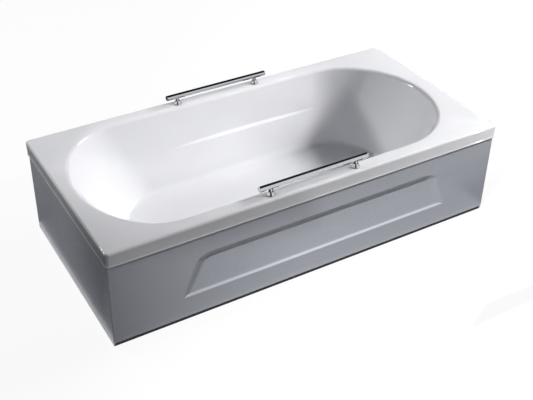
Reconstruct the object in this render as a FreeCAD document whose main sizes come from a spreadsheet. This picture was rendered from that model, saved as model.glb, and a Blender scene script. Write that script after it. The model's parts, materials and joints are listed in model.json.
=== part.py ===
import FreeCAD, Part
import math
import os

import Sketcher
from FreeCAD import Matrix, Placement, Rotation, Vector

# A fitted bathtub: a shell with its rim, the frame and feet under it, the
# panels round it, two grab bars on the rim and a pop-up waste with overflow.
# Millimetres. X runs along the tub towards the foot end, -Y is the front with
# the long panel, +Y is the wall side, and the origin is on the floor under the centre.

doc = FreeCAD.newDocument("bathtub")
sheet = doc.addObject("Spreadsheet::Sheet", "sizes")

# Driving sizes, one row each: alias, value, what it is
SIZES = [
    ("tubLength", 1700, "length over the rim"),
    ("tubWidth", 820, "width over the rim"),
    ("rimHeight", 420, "top of the deck above the floor"),
    ("shellThick", 6, "wall of the shell"),
    ("lipDrop", 58, "height of the turned-down rim"),
    ("deckCornerRadius", 15, "corner of the rim seen from above"),
    ("lipInnerRadius", 4, "inside corner of the turned-down rim"),
    ("rimEdgeRadius", 8, "rounding along the top edge of the rim"),
    ("headLand", 55, "deck between the head end of the opening and the rim"),
    ("footLand", 79, "deck between the foot end of the opening and the rim"),
    ("sideLand", 63, "deck between the side of the opening and the rim"),
    ("headCap", 272, "length of the curved end at the head"),
    ("footCap", 322, "length of the curved end at the foot"),
    ("basinFloor", 72, "floor of the basin above the ground"),
    ("headRun", 200, "how far the backrest runs in down to the floor"),
    ("footRun", 146, "how far the foot wall runs in down to the floor"),
    ("sideRun", 67, "how far a side wall runs in down to the floor"),
    ("floorHeadCap", 230, "length of the curved end of the floor, head"),
    ("floorFootCap", 225, "length of the curved end of the floor, foot"),
    ("floorRadius", 45, "rounding between wall and floor"),
    ("openingRadius", 16, "rounding of the opening's edge"),
    ("armrestDrop", 170, "deck down to the ledge along the side walls"),
    ("armrestDepth", 12, "width of that ledge at its middle"),
    ("armrestHeadInset", 515, "head end of the opening to the ledge's head end"),
    ("armrestFootInset", 296, "foot end of the opening to the ledge's foot end"),
    ("armrestRise", 145, "height over which the ledge's face runs out"),
    ("armrestLean", 16, "how far that face leans out over its height"),
    ("armrestRunOn", 30, "how far its back runs on behind the wall"),
    ("boardThick", 12, "board bonded under the basin"),
    ("boardInset", 50, "edge of the basin's floor to the board's edge"),
    ("boardCorner", 30, "corner radius of the board"),
    ("boardHoleRadius", 45, "hole in the board round the waste"),
    ("railWidth", 30, "timber under the rim, across"),
    ("railDepth", 20, "timber under the rim, height"),
    ("railInset", 5.5, "gap from the lip's inside to the timber"),
    ("tubeSize", 25, "square tube of the frame"),
    ("tubeWall", 1.5, "wall of that tube"),
    ("baseRailGap", 50, "rim's edge to the end of a base rail"),
    ("baseRailInset", 32.5, "rim's edge to the middle of a base rail"),
    ("uprightInset", 140, "end of a base rail to an upright"),
    ("headBearerInset", 320, "end of a base rail to the head bearer"),
    ("footBearerInset", 240, "end of a base rail to the foot bearer"),
    ("footInset", 57.5, "middle of a base rail to a row of feet"),
    ("footPadRadius", 25, "foot pad"),
    ("footPadEdge", 4, "height of its straight edge"),
    ("footPadHeight", 12, "height of the pad"),
    ("footPadTop", 13, "radius at the top of the pad"),
    ("studRadius", 6, "threaded stud of a foot"),
    ("studSpare", 58, "stud above its bearer"),
    ("footNutFlats", 19, "nut on that stud, across flats"),
    ("footNutHeight", 10, "its height"),
    ("shaftClearance", 0.05, "gap round a shaft or stud in its nut"),
    ("holeClearance", 0.5, "gap round a bolt in its hole"),
    ("seatGap", 0.3, "gap between curved or nested pieces"),
    ("panelThick", 4, "wall of the panels"),
    ("panelCorner", 3.8, "rounding of the front panel's two ends"),
    ("panelInset", 6.5, "panels behind the rim's outer face"),
    ("panelTuck", 20, "deck top down to the panels' top edge"),
    ("apronBottom", 20, "lower edge of the front panel above the floor"),
    ("apronFlangeHeight", 25, "underside of its bottom flange"),
    ("apronFlangeDepth", 30, "depth of that flange"),
    ("endPanelBottom", 2, "lower edge of an end panel above the floor"),
    ("flangeWidth", 40, "turned-in edges of an end panel"),
    ("flangeShort", 30, "those edges stop below the deck"),
    ("plinthDepth", 15, "strip under the front panel, front to back"),
    ("plinthInset", 6, "strip behind the panel's face"),
    ("plinthBottom", 1, "its lower edge above the floor"),
    ("recessBottom", 109, "lower edge of the panel's recess"),
    ("recessDrop", 118, "panel's top edge down to the recess"),
    ("recessInset", 246.5, "panel's end to the recess's lower corner, before its shift"),
    ("recessLean", 68, "its upper corners lie this much further in"),
    ("recessShallow", 7, "its depth at the lower edge"),
    ("recessDeep", 16, "its depth at the upper edge"),
    ("recessShift", 25, "the recess sits this much nearer to the foot end"),
    ("recessTaper", 45, "slope of its sides in degrees"),
    ("recessCorner", 20, "radius of its upper corners"),
    ("recessLowCorner", 4, "radius of its lower corners"),
    ("clipLeg", 25, "panel clip, along its leg under the timber"),
    ("clipDrop", 30, "panel clip, height"),
    ("clipWidth", 24, "panel clip, width"),
    ("clipThick", 2, "panel clip, sheet"),
    ("clipScrewLine", 15, "panel's inside to the screw in its clip"),
    ("clipInset", 200, "end of a base rail to an outer clip on the front"),
    ("endClipLine", 200, "centreline to a clip on an end panel"),
    ("screwRadius", 2, "screw shank"),
    ("screwHeadRadius", 4, "screw head"),
    ("screwHeadHeight", 2.4, "screw head"),
    ("screwLength", 16, "screw under its head"),
    ("barInset", 32, "rim's edge to the middle of a grab bar"),
    ("barHalfLength", 235, "centre to the end of a grab bar"),
    ("barRadius", 11, "grab bar tube"),
    ("barWall", 1.5, "its wall"),
    ("barHeight", 38, "deck to the middle of the bar"),
    ("barPostInset", 49.5, "end of a grab bar to its post"),
    ("postRadius", 7.5, "post"),
    ("capLength", 5, "end cap outside the tube"),
    ("capPlug", 12, "end cap inside the tube"),
    ("capEdge", 1.2, "rounding of the end cap"),
    ("rosetteRadius", 16.5, "cone at the foot of a post"),
    ("rosetteTopRadius", 9.5, "top of that cone"),
    ("rosetteEdge", 2, "its straight edge"),
    ("rosetteHeight", 13, "its height"),
    ("gasketThick", 1.5, "rubber gaskets"),
    ("barStudRadius", 4, "threaded stud in a post"),
    ("barStudEngage", 16, "that stud inside the post"),
    ("barStudTail", 14, "that stud below the timber"),
    ("barWasherRadius", 9, "washer on that stud"),
    ("barWasherThick", 1.6, "its thickness"),
    ("barNutFlats", 13, "nut on that stud, across flats"),
    ("barNutHeight", 6.5, "its height"),
    ("wasteInset", 371, "foot end of the opening to the waste and the overflow"),
    ("wasteHoleRadius", 25.5, "hole in the basin's floor"),
    ("wasteFlangeRadius", 35, "flange in the floor"),
    ("wasteFlangeThick", 3, "its thickness"),
    ("throatRadius", 24.5, "threaded throat of the waste, outside"),
    ("throatBore", 21, "its bore"),
    ("throatLength", 24, "its length under the flange"),
    ("spiderHeight", 6, "cross in the throat that guides the plug"),
    ("spiderHub", 7.5, "radius of its hub"),
    ("spiderArm", 3, "width of its arms"),
    ("stemRadius", 4, "stem of the plug and spindle of the knob"),
    ("stemLength", 56, "stem under the plug"),
    ("plugRadius", 27, "pop-up plug"),
    ("plugThick", 4.5, "its height"),
    ("plugEdge", 2, "rounding of its edge"),
    ("sealRadius", 24, "seal under the plug"),
    ("sealBore", 15, "bore of that seal"),
    ("sealThick", 2, "its thickness"),
    ("bodyRadius", 28, "cup under the waste, outside"),
    ("bodyWall", 3, "its wall"),
    ("bodyFlangeRadius", 36, "its flange under the shell"),
    ("bodyFlangeThick", 3, "thickness of that flange"),
    ("bodyBottom", 6.5, "its lowest point above the floor"),
    ("outletRadius", 20, "outlet tail, outside"),
    ("outletWall", 2, "its wall"),
    ("outletSetback", 65, "rim's rear edge to the end of the outlet tail"),
    ("outletSpigot", 50, "free end of the tail that a trap slips over"),
    ("outletStop", 3, "height and width of the stop ring behind that end"),
    ("pipeRadius", 16, "overflow pipe, outside"),
    ("pipeWall", 2, "its wall"),
    ("pipeHeight", 29, "middle of its low run above the floor"),
    ("pipeBend", 60, "radius of its bend"),
    ("pipeStandoff", 7, "gap between its nut and the basin's flat side"),
    ("portRadius", 19, "ports that the pipe goes into, outside"),
    ("portReach", 70, "centre of the waste to the end of its port"),
    ("pipeEngage", 24, "pipe inside a port"),
    ("nutRadius", 24, "slip nut, outside"),
    ("nutLength", 24, "slip nut, length"),
    ("nutOverPort", 10, "slip nut, part over the port"),
    ("nutRibs", 12, "grip ribs round a slip nut"),
    ("nutRibRadius", 1.5, "radius of a rib"),
    ("cableRadius", 1.5, "cable between knob and plug"),
    ("overflowDrop", 68, "deck down to the middle of the overflow"),
    ("overflowHoleRadius", 24.5, "hole in the wall"),
    ("overflowRadius", 30, "face ring of the overflow"),
    ("overflowThick", 3, "its thickness"),
    ("overflowSleeveLength", 20, "its sleeve through the wall"),
    ("overflowSleeveWall", 2.5, "wall of that sleeve"),
    ("knobRadius", 21, "overflow knob"),
    ("knobThick", 14, "its height"),
    ("knobStandoff", 3, "gap between knob and face ring for the water"),
    ("knobEdge", 2.5, "rounding of the knob"),
    ("knobGrips", 6, "finger scallops round the knob"),
    ("knobGripRadius", 7, "radius of a scallop"),
    ("knobGripDepth", 1.8, "its depth"),
    ("elbowRadius", 28, "cup behind the overflow, outside"),
    ("elbowWall", 3, "its wall"),
    ("elbowDepth", 58, "wall of the tub to the back of the cup"),
    ("elbowPort", 46, "middle of the cup to the end of its port"),
    ("overrun", 5, "how far a cut runs past the face it opens"),
]


class Size:
    """A size with its value and the expression over the sheet's cells that gives it."""

    def __init__(self, value, text):
        self.value = value
        self.text = text

    def __add__(self, other):
        return joined(self, "+", other)

    def __sub__(self, other):
        return joined(self, "-", other)

    def __mul__(self, other):
        return joined(self, "*", other)

    def __rmul__(self, other):
        return joined(other, "*", self)

    def __truediv__(self, other):
        return joined(self, "/", other)

    def __neg__(self):
        return Size(-self.value, "(-%s)" % self.text)


def as_size(item):
    """Let a plain number stand in a sum with sizes."""
    return item if isinstance(item, Size) else Size(item, repr(item))


ZERO = Size(0, "0")


def joined(left, sign, right):
    """Add, subtract, multiply or divide two sizes."""
    left = as_size(left)
    right = as_size(right)
    results = {"+": lambda: left.value + right.value,
               "-": lambda: left.value - right.value,
               "*": lambda: left.value * right.value,
               "/": lambda: left.value / right.value}
    return Size(results[sign](), "(%s %s %s)" % (left.text, sign, right.text))


def cosine(angle):
    """Cosine of a size that is an angle in degrees."""
    return Size(math.cos(math.radians(angle.value)), "cos(%s)" % angle.text)


class Sizes:
    """Every row of the sheet as an attribute with the alias for its name."""


s = Sizes()
for row, (alias, value, note) in enumerate(SIZES, 1):
    sheet.set("A%d" % row, alias)
    sheet.set("B%d" % row, str(value))
    sheet.set("C%d" % row, note)
    sheet.setAlias("B%d" % row, alias)
    setattr(s, alias, Size(value, "sizes." + alias))
doc.recompute()

subparts = []
TURNS = {"z": Rotation(),
         "x": Rotation(Vector(0, 1, 0), 90),
         "y": Rotation(Vector(1, 0, 0), -90),
         "-y": Rotation(Vector(1, 0, 0), 90)}


def bind(thing, prop, size):
    """Tie a property to the sheet."""
    thing.setExpression(prop, as_size(size).text)


def put(thing, x=0, y=0, z=0, direction="z"):
    """Place a thing, with its own Z along the direction, and tie its place to the sheet."""
    thing.Placement = Placement(Vector(as_size(x).value, as_size(y).value, as_size(z).value),
                                TURNS[direction])
    for axis, size in (("x", x), ("y", y), ("z", z)):
        bind(thing, "Placement.Base." + axis, size)
    return thing


def box(name, length, width, height, x, y, z):
    """A block with its low corner at x, y, z."""
    block = doc.addObject("Part::Box", name)
    for prop, size in (("Length", length), ("Width", width), ("Height", height)):
        bind(block, prop, size)
    return put(block, x, y, z)


def cylinder(name, radius, height, x=0, y=0, z=0, direction="z"):
    """A round bar that starts at x, y, z."""
    bar = doc.addObject("Part::Cylinder", name)
    bind(bar, "Radius", radius)
    bind(bar, "Height", height)
    return put(bar, x, y, z, direction)


def hexagon(name, flats, height, x, y, z):
    """A six-sided block that starts at x, y, z."""
    block = doc.addObject("Part::Prism", name)
    block.Polygon = 6
    bind(block, "Circumradius", flats / 2 / cosine(Size(30, "30")))
    bind(block, "Height", height)
    return put(block, x, y, z)


def fused(name, *shapes):
    """One solid of several."""
    union = doc.addObject("Part::MultiFuse", name)
    union.Shapes = list(shapes)
    return union


def grouped(name, *shapes):
    """Several separate solids in one sub-part."""
    group = doc.addObject("Part::Compound", name)
    group.Links = list(shapes)
    return group


def cut(name, base, *tools):
    """The base less the tools."""
    difference = doc.addObject("Part::Cut", name)
    difference.Base = base
    difference.Tool = tools[0] if len(tools) == 1 else grouped(name + "_tools", *tools)
    return difference


def common(name, first, second):
    """What two shapes share."""
    both = doc.addObject("Part::Common", name)
    both.Base = first
    both.Tool = second
    return both


def rounded(name, base, radius, wanted):
    """Round the edges that the test picks."""
    doc.recompute()
    edges = [number for number, edge in enumerate(base.Shape.Edges, 1) if wanted(edge)]
    fillet = doc.addObject("Part::Fillet", name)
    fillet.Base = base
    fillet.Edges = [(number, radius.value, radius.value) for number in edges]
    return fillet


def freeform(name, shape):
    """A shape that no feature makes, kept as a feature of the document."""
    feature = doc.addObject("Part::Feature", name)
    feature.Shape = shape
    return feature


def body_plane(body, role):
    """One of a body's own three origin planes."""
    return [item for item in body.Origin.OriginFeatures if item.Role == role][0]


def outline(body, name, role, corners):
    """A sketch of straight lines whose corners are tied to the sheet."""
    sketch = body.newObject("Sketcher::SketchObject", name)
    sketch.AttachmentSupport = [(body_plane(body, role), "")]
    sketch.MapMode = "FlatFace"
    corners = [(as_size(across), as_size(up)) for across, up in corners]
    places = [Vector(across.value, up.value, 0) for across, up in corners]
    for start, end in zip(places, places[1:] + places[:1]):
        sketch.addGeometry(Part.LineSegment(start, end))
    for index, (across, up) in enumerate(corners):
        before = (index - 1) % len(corners)
        sketch.addConstraint(Sketcher.Constraint("Coincident", before, 2, index, 1))
        for kind, size, axis in (("DistanceX", across, -2), ("DistanceY", up, -1)):
            if size.value == 0:
                sketch.addConstraint(Sketcher.Constraint("PointOnObject", index, 1, axis))
                continue
            held = Sketcher.Constraint(kind, -1, 1, index, 1, size.value)
            sketch.setExpression("Constraints[%d]" % sketch.addConstraint(held), size.text)
    return sketch


def turned(name, profile, x=0, y=0, z=0, direction="z"):
    """A body turned from its profile of radius and height, with its axis along the direction."""
    body = doc.addObject("PartDesign::Body", name)
    sketch = outline(body, name + "_profile", "XZ_Plane", profile)
    turn = body.newObject("PartDesign::Revolution", name + "_turn")
    turn.Profile = sketch
    turn.ReferenceAxis = (sketch, ["V_Axis"])
    turn.Angle = 360
    return put(body, x, y, z, direction)


def padded(name, role, corners, length, x=0, y=0, z=0, midplane=False):
    """A body of one flat outline given a length."""
    body = doc.addObject("PartDesign::Body", name)
    sketch = outline(body, name + "_outline", role, corners)
    pad = body.newObject("PartDesign::Pad", name + "_pad")
    pad.Profile = sketch
    bind(pad, "Length", length)
    pad.Midplane = midplane
    return put(body, x, y, z)


def dressed(body, radius, wanted):
    """Round the edges of a body that the test picks."""
    doc.recompute()
    tip = body.Tip
    names = ["Edge%d" % number for number, edge in enumerate(tip.Shape.Edges, 1) if wanted(edge)]
    fillet = body.newObject("PartDesign::Fillet", body.Name + "_rounding")
    fillet.Base = (tip, names)
    bind(fillet, "Radius", radius)
    body.Tip = fillet
    return body


def subpart(label, thing):
    """Name a finished sub-part, and keep it for the files."""
    thing.Label = label
    subparts.append(thing)
    return thing


def level(edge, z):
    """Whether an edge lies flat at a height."""
    limits = edge.BoundBox
    return abs(limits.ZMin - z.value) < 0.01 and abs(limits.ZMax - z.value) < 0.01


# Places that several sub-parts share
rim_x = s.tubLength / 2
rim_y = s.tubWidth / 2
deck_under = s.rimHeight - s.shellThick
floor_top = s.basinFloor
basin_depth = s.rimHeight - floor_top
floor_under = floor_top - s.shellThick
board_under = floor_under - s.boardThick
base_under = board_under - s.tubeSize
rail_under = deck_under - s.railDepth
rail_x = rim_x - s.shellThick - s.railInset
rail_y = rim_y - s.shellThick - s.railInset
base_line = rim_y - s.baseRailInset
base_reach = rim_x - s.baseRailGap
upright_reach = base_reach - s.uprightInset
foot_line = base_line - s.footInset
clip_reach = base_reach - s.clipInset
head_reach = rim_x - s.headLand
foot_reach = rim_x - s.footLand
side_reach = rim_y - s.sideLand
floor_head = head_reach - s.headRun
floor_foot = foot_reach - s.footRun
floor_side = side_reach - s.sideRun
armrest_z = s.rimHeight - s.armrestDrop
armrest_head = head_reach - s.armrestHeadInset
armrest_foot = foot_reach - s.armrestFootInset
waste_x = foot_reach - s.wasteInset
overflow_z = s.rimHeight - s.overflowDrop
bar_line = rim_y - s.barInset
post_reach = s.barHalfLength - s.barPostInset
outlet_reach = rim_y - s.outletSetback
panel_x = rim_x - s.panelInset
panel_y = rim_y - s.panelInset
panel_top = s.rimHeight - s.panelTuck
inside_x = panel_x - s.panelThick
inside_y = panel_y - s.panelThick
recess_top = panel_top - s.recessDrop
recess_low_reach = panel_x - s.recessInset
recess_high_reach = recess_low_reach - s.recessLean
bearers = {"head": s.headBearerInset - base_reach,
           "middle": (s.headBearerInset - s.footBearerInset) / 2,
           "foot": base_reach - s.footBearerInset}
seat_y = inside_y - s.seatGap
screw_line_y = s.clipScrewLine - inside_y
screw_line_x = inside_x - s.clipScrewLine
pipe_offset = s.shellThick + s.pipeStandoff + s.nutRadius
foot_places = [(bearers[end], side * foot_line) for end in bearers for side in (-1, 1)]
bar_centre = (foot_reach - head_reach) / 2
bar_places = [(bar_centre + end * post_reach, side * bar_line)
              for side in (-1, 1) for end in (-1, 1)]


# The basin: a wall line from the deck to the floor, worked out at any height

WALL_LINES = {"head": (head_reach, floor_head),
              "foot": (foot_reach, floor_foot),
              "side": (side_reach, floor_side),
              "head cap": (s.headCap, s.floorHeadCap),
              "foot cap": (s.footCap, s.floorFootCap)}


def wall_at(line, z):
    """Distance of a wall line from the centre at a height."""
    top, bottom = (size.value for size in WALL_LINES[line])
    share = (s.rimHeight.value - z) / basin_depth.value
    return top + (bottom - top) * share


def spread(line, thick):
    """How far a wall moves out, measured level, when it gains this much thickness."""
    top, bottom = (size.value for size in WALL_LINES[line])
    return thick * math.hypot(1, (top - bottom) / basin_depth.value)


def basin_outline(z, thick):
    """The basin's outline at a height: two straight sides with two half-elliptic ends."""
    half = wall_at("side", z) + spread("side", thick)
    ends = []
    for end, sign in (("foot", 1), ("head", -1)):
        grown = spread(end, thick)
        reach = wall_at(end, z) + grown
        cap = wall_at(end + " cap", z) + grown
        ends.append((sign * (reach - cap), sign * cap))
    edges = []
    quarter = Part.makeCircle(1, Vector(), Vector(0, 0, 1), 0, 90)
    for centre, cap in ends:
        turn = -1 if cap < 0 else 1
        for up in (-turn, turn):
            scale = Matrix()
            scale.scale(cap, up * half, 1)
            scale.move(Vector(centre, 0, z))
            edges.append(quarter.transformGeometry(scale))
    for side in (-1, 1):
        corners = [Vector(centre, side * half, z) for centre, cap in ends]
        edges.append(Part.makeLine(*corners))
    return Part.Wire(Part.__sortEdges__(edges))


def basin_solid(top, bottom, thick):
    """The space inside the basin, or that space grown by the wall's thickness."""
    return Part.makeLoft([basin_outline(top, thick), basin_outline(bottom, thick)], True, True)


def armrest_solid(side, thick):
    """The hollow over the ledge in a side wall, or that hollow grown by the wall's thickness."""
    reach = (armrest_head + armrest_foot).value / 2
    middle = (armrest_foot - armrest_head).value / 2
    depth = s.armrestDepth.value
    radius = (reach * reach + depth * depth) / (2 * depth)
    wall = wall_at("side", armrest_z.value)
    grown = spread("side", thick)
    half = reach + (s.armrestRunOn.value if thick else 0)
    centre = wall + depth - radius
    bottom = armrest_z.value - thick
    inner = wall - s.floorRadius.value
    end_y = centre + math.sqrt((radius + grown) ** 2 - half ** 2)
    near = Vector(middle - half, side * end_y, bottom)
    far = Vector(middle + half, side * end_y, bottom)
    crown = Vector(middle, side * (centre + radius + grown), bottom)
    arc = Part.Arc(near, crown, far).toShape()
    sides = Part.makePolygon([far, Vector(far.x, side * inner, bottom),
                              Vector(near.x, side * inner, bottom), near])
    face = Part.Face(Part.Wire([arc] + sides.Edges))
    share = (s.armrestRise.value + thick) / s.armrestRise.value
    return face.extrude(Vector(0, side * s.armrestLean.value, s.armrestRise.value) * share)


def overflow_frame():
    """The overflow's place on the front wall, with its own Z square to the wall."""
    y = wall_at("side", overflow_z.value)
    run = (side_reach - floor_side).value
    tilt = math.degrees(math.atan2(run, basin_depth.value))
    place = Vector(waste_x.value, -y, overflow_z.value)
    return Placement(place, Rotation(Vector(1, 0, 0), tilt - 90))


def put_on_wall(thing):
    """Seat a piece of the overflow on the front wall."""
    thing.Placement = overflow_frame()
    run = side_reach - floor_side
    fall = (s.rimHeight - overflow_z) / basin_depth
    bind(thing, "Placement.Base.x", waste_x)
    bind(thing, "Placement.Base.y", run * fall - side_reach)
    bind(thing, "Placement.Base.z", overflow_z)
    angle = "atan(%s) - 90 deg" % (run / basin_depth).text
    thing.setExpression("Placement.Rotation.Angle", angle)
    return thing


def make_tub_shell():
    """Deck, lip and basin in one wall, with its holes."""
    deck = box("deck_block", s.tubLength, s.tubWidth, s.lipDrop,
               -rim_x, -rim_y, s.rimHeight - s.lipDrop)
    deck = rounded("deck_corners", deck, s.deckCornerRadius,
                   lambda edge: edge.BoundBox.ZLength > s.lipDrop.value / 2)
    deck = rounded("deck_edge", deck, s.rimEdgeRadius, lambda edge: level(edge, s.rimHeight))
    hollow = box("deck_hollow", s.tubLength - 2 * s.shellThick, s.tubWidth - 2 * s.shellThick,
                 s.lipDrop - s.shellThick + s.overrun,
                 s.shellThick - rim_x, s.shellThick - rim_y,
                 s.rimHeight - s.lipDrop - s.overrun)
    hollow = rounded("deck_hollow_corners", hollow, s.lipInnerRadius,
                     lambda edge: edge.BoundBox.ZLength > s.lipDrop.value / 2)
    deck = cut("deck", deck, hollow)
    middle = (deck_under + s.shellThick / 2).value
    outside = freeform("basin_outside", basin_solid(middle, floor_under.value, s.shellThick.value))
    outside = rounded("basin_outside_floor", outside, s.floorRadius + s.shellThick,
                      lambda edge: level(edge, floor_under))
    backs = [freeform("armrest_back_%s" % name, armrest_solid(side, s.shellThick.value))
             for name, side in (("front", -1), ("rear", 1))]
    blank = fused("shell_blank", deck, outside, *backs)
    basin_reach = (head_reach + s.shellThick * 2).value
    blank = rounded("shell_blank_rounded", blank, s.openingRadius - s.shellThick,
                    lambda edge: level(edge, deck_under)
                    and abs(edge.BoundBox.XMin) < basin_reach
                    and abs(edge.BoundBox.XMax) < basin_reach
                    and edge.BoundBox.YMax < bar_line.value
                    and edge.BoundBox.YMin > -bar_line.value)
    top = (s.rimHeight + s.overrun).value
    inside = freeform("basin_inside", basin_solid(top, floor_top.value, 0))
    inside = rounded("basin_inside_floor", inside, s.floorRadius,
                     lambda edge: level(edge, floor_top))
    ledges = [freeform("armrest_%s" % name, armrest_solid(side, 0))
              for name, side in (("front", -1), ("rear", 1))]
    shell = cut("shell_open", blank, inside, *ledges)
    shell = rounded("shell_rounded", shell, s.openingRadius,
                    lambda edge: level(edge, s.rimHeight)
                    and abs(edge.BoundBox.XMin) < basin_reach
                    and abs(edge.BoundBox.XMax) < basin_reach
                    and edge.BoundBox.YMax < bar_line.value
                    and edge.BoundBox.YMin > -bar_line.value)
    holes = [cylinder("waste_hole", s.wasteHoleRadius, s.shellThick + 2 * s.overrun,
                      waste_x, 0, floor_under - s.overrun)]
    for number, (x, y) in enumerate(bar_places, 1):
        holes.append(cylinder("bar_hole_%d" % number, s.barStudRadius + s.holeClearance,
                              s.shellThick + 2 * s.overrun, x, y, deck_under - s.overrun))
    wall_hole = turned("overflow_hole", [(0, -s.shellThick - s.overrun),
                                         (s.overflowHoleRadius, -s.shellThick - s.overrun),
                                         (s.overflowHoleRadius, s.overrun), (0, s.overrun)])
    holes.append(put_on_wall(wall_hole))
    subpart("tub_shell", cut("tub_shell", shell, *holes))


def make_base_board():
    """Board bonded under the basin, open round the waste."""
    head = s.boardInset - floor_head
    foot = floor_foot - s.boardInset
    side = floor_side - s.boardInset
    body = padded("board_blank", "XY_Plane",
                  [(head, -side), (foot, -side), (foot, side), (head, side)],
                  s.boardThick, 0, 0, board_under)
    dressed(body, s.boardCorner, lambda edge: edge.BoundBox.ZLength > s.boardThick.value / 2)
    hole = cylinder("base_board_hole", s.boardHoleRadius, s.boardThick + 2 * s.overrun,
                    waste_x, 0, board_under - s.overrun)
    subpart("base_board", cut("base_board_open", body, hole))


def make_rim_rails():
    """Timbers that stiffen the rim from below, drilled for the bars and the panel screws."""
    pilot = s.screwRadius + s.shaftClearance
    clip_xs = [(-clip_reach, "head"), (ZERO, "middle"), (clip_reach, "foot")]
    for name, side in (("front", -1), ("rear", 1)):
        low_y = -rail_y if side < 0 else rail_y - s.railWidth
        rail = box(name + "_rim_timber", 2 * rail_x, s.railWidth, s.railDepth,
                   -rail_x, low_y, rail_under)
        holes = []
        for end in (-1, 1):
            holes.append(cylinder("%s_rail_bore_%d" % (name, end + 2),
                                  s.barStudRadius + s.holeClearance, s.railDepth + 2 * s.overrun,
                                  bar_centre + end * post_reach, side * bar_line,
                                  rail_under - s.overrun))
        if side < 0:
            for x, place in clip_xs:
                holes.append(cylinder("front_rail_pilot_" + place, pilot, s.screwLength,
                                      x, screw_line_y, rail_under - s.overrun))
        subpart(name + "_rim_rail", cut(name + "_rim_rail", rail, *holes))
    for name, side in (("head", -1), ("foot", 1)):
        low_x = -rail_x if side < 0 else rail_x - s.railWidth
        rail = box(name + "_rim_timber", s.railWidth, 2 * (rail_y - s.railWidth), s.railDepth,
                   low_x, s.railWidth - rail_y, rail_under)
        holes = [cylinder("%s_rail_pilot_%d" % (name, row + 2), pilot, s.screwLength,
                          side * screw_line_x, row * s.endClipLine, rail_under - s.overrun)
                 for row in (-1, 1)]
        subpart(name + "_rim_rail", cut(name + "_rim_rail", rail, *holes))


def square_tube(name, length, x, y, z, along):
    """A square tube from its low corner, with its length along X, Y or Z."""
    size = s.tubeSize
    bore = s.tubeSize - 2 * s.tubeWall
    extents = {"x": (length, size, size), "y": (size, length, size), "z": (size, size, length)}
    inner = {"x": (length, bore, bore), "y": (bore, length, bore), "z": (bore, bore, length)}
    shift = {axis: 0 if axis == along else s.tubeWall for axis in "xyz"}
    solid = box(name + "_solid", *extents[along], x, y, z)
    core = box(name + "_bore", *inner[along], x + shift["x"], y + shift["y"], z + shift["z"])
    return solid, core


def make_frame():
    """Welded frame of square tube: two base rails, three bearers and four uprights.

    The rear rail lies on top of the bearers, so that the waste pipe can pass under it.
    """
    half = s.tubeSize / 2
    for name, side, low in (("front", -1, base_under), ("rear", 1, board_under)):
        solid, core = square_tube(name + "_base", 2 * base_reach, -base_reach,
                                  side * base_line - half, low, "x")
        tools = [core]
        if side < 0:
            for number, x in enumerate((-clip_reach, clip_reach), 1):
                tools.append(cylinder("base_rail_pilot_%d" % number,
                                      s.screwRadius + s.shaftClearance, s.tubeSize,
                                      x, -base_line, base_under - half))
        subpart(name + "_base_rail", cut(name + "_base_rail", solid, *tools))
        for end, sign in (("head", -1), ("foot", 1)):
            foot = low + s.tubeSize
            solid, core = square_tube("%s_%s_post" % (name, end), rail_under - foot,
                                      sign * upright_reach - half, side * base_line - half,
                                      foot, "z")
            label = "%s_%s_upright" % (name, end)
            subpart(label, cut(label, solid, core))
    for end, x in bearers.items():
        solid, core = square_tube(end + "_cross", 2 * base_line, x - half, half - base_line,
                                  base_under, "y")
        holes = [cylinder("%s_cross_hole_%d" % (end, side + 2), s.studRadius + s.seatGap,
                          s.tubeSize + 2 * s.overrun, x, side * foot_line,
                          base_under - s.overrun) for side in (-1, 1)]
        subpart(end + "_bearer", cut(end + "_bearer", solid, core, *holes))


def make_feet():
    """Six adjustable feet, each a pad on a stud, and the nuts that hold the studs."""
    nuts = []
    bore = s.studRadius + s.shaftClearance
    for number, (x, y) in enumerate(foot_places, 1):
        pad = turned("foot_pad_%d" % number,
                     [(0, 0), (s.footPadRadius, 0), (s.footPadRadius, s.footPadEdge),
                      (s.footPadTop, s.footPadHeight), (bore, s.footPadHeight),
                      (bore, s.footPadEdge), (0, s.footPadEdge)], x, y, 0)
        subpart("foot_pad_%d" % number, pad)
        stud = cylinder("foot_stud_%d" % number, s.studRadius, board_under + s.studSpare - s.footPadEdge,
                        x, y, s.footPadEdge)
        subpart("foot_stud_%d" % number, stud)
        for place, z in (("low", base_under - s.footNutHeight), ("high", board_under)):
            blank = hexagon("foot_nut_blank_%s_%d" % (place, number), s.footNutFlats,
                            s.footNutHeight, x, y, z)
            hole = cylinder("foot_nut_bore_%s_%d" % (place, number), bore,
                            s.footNutHeight + 2 * s.overrun, x, y, z - s.overrun)
            nuts.append(cut("foot_nut_%s_%d" % (place, number), blank, hole))
    subpart("foot_nuts", grouped("foot_nuts", *nuts))


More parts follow.
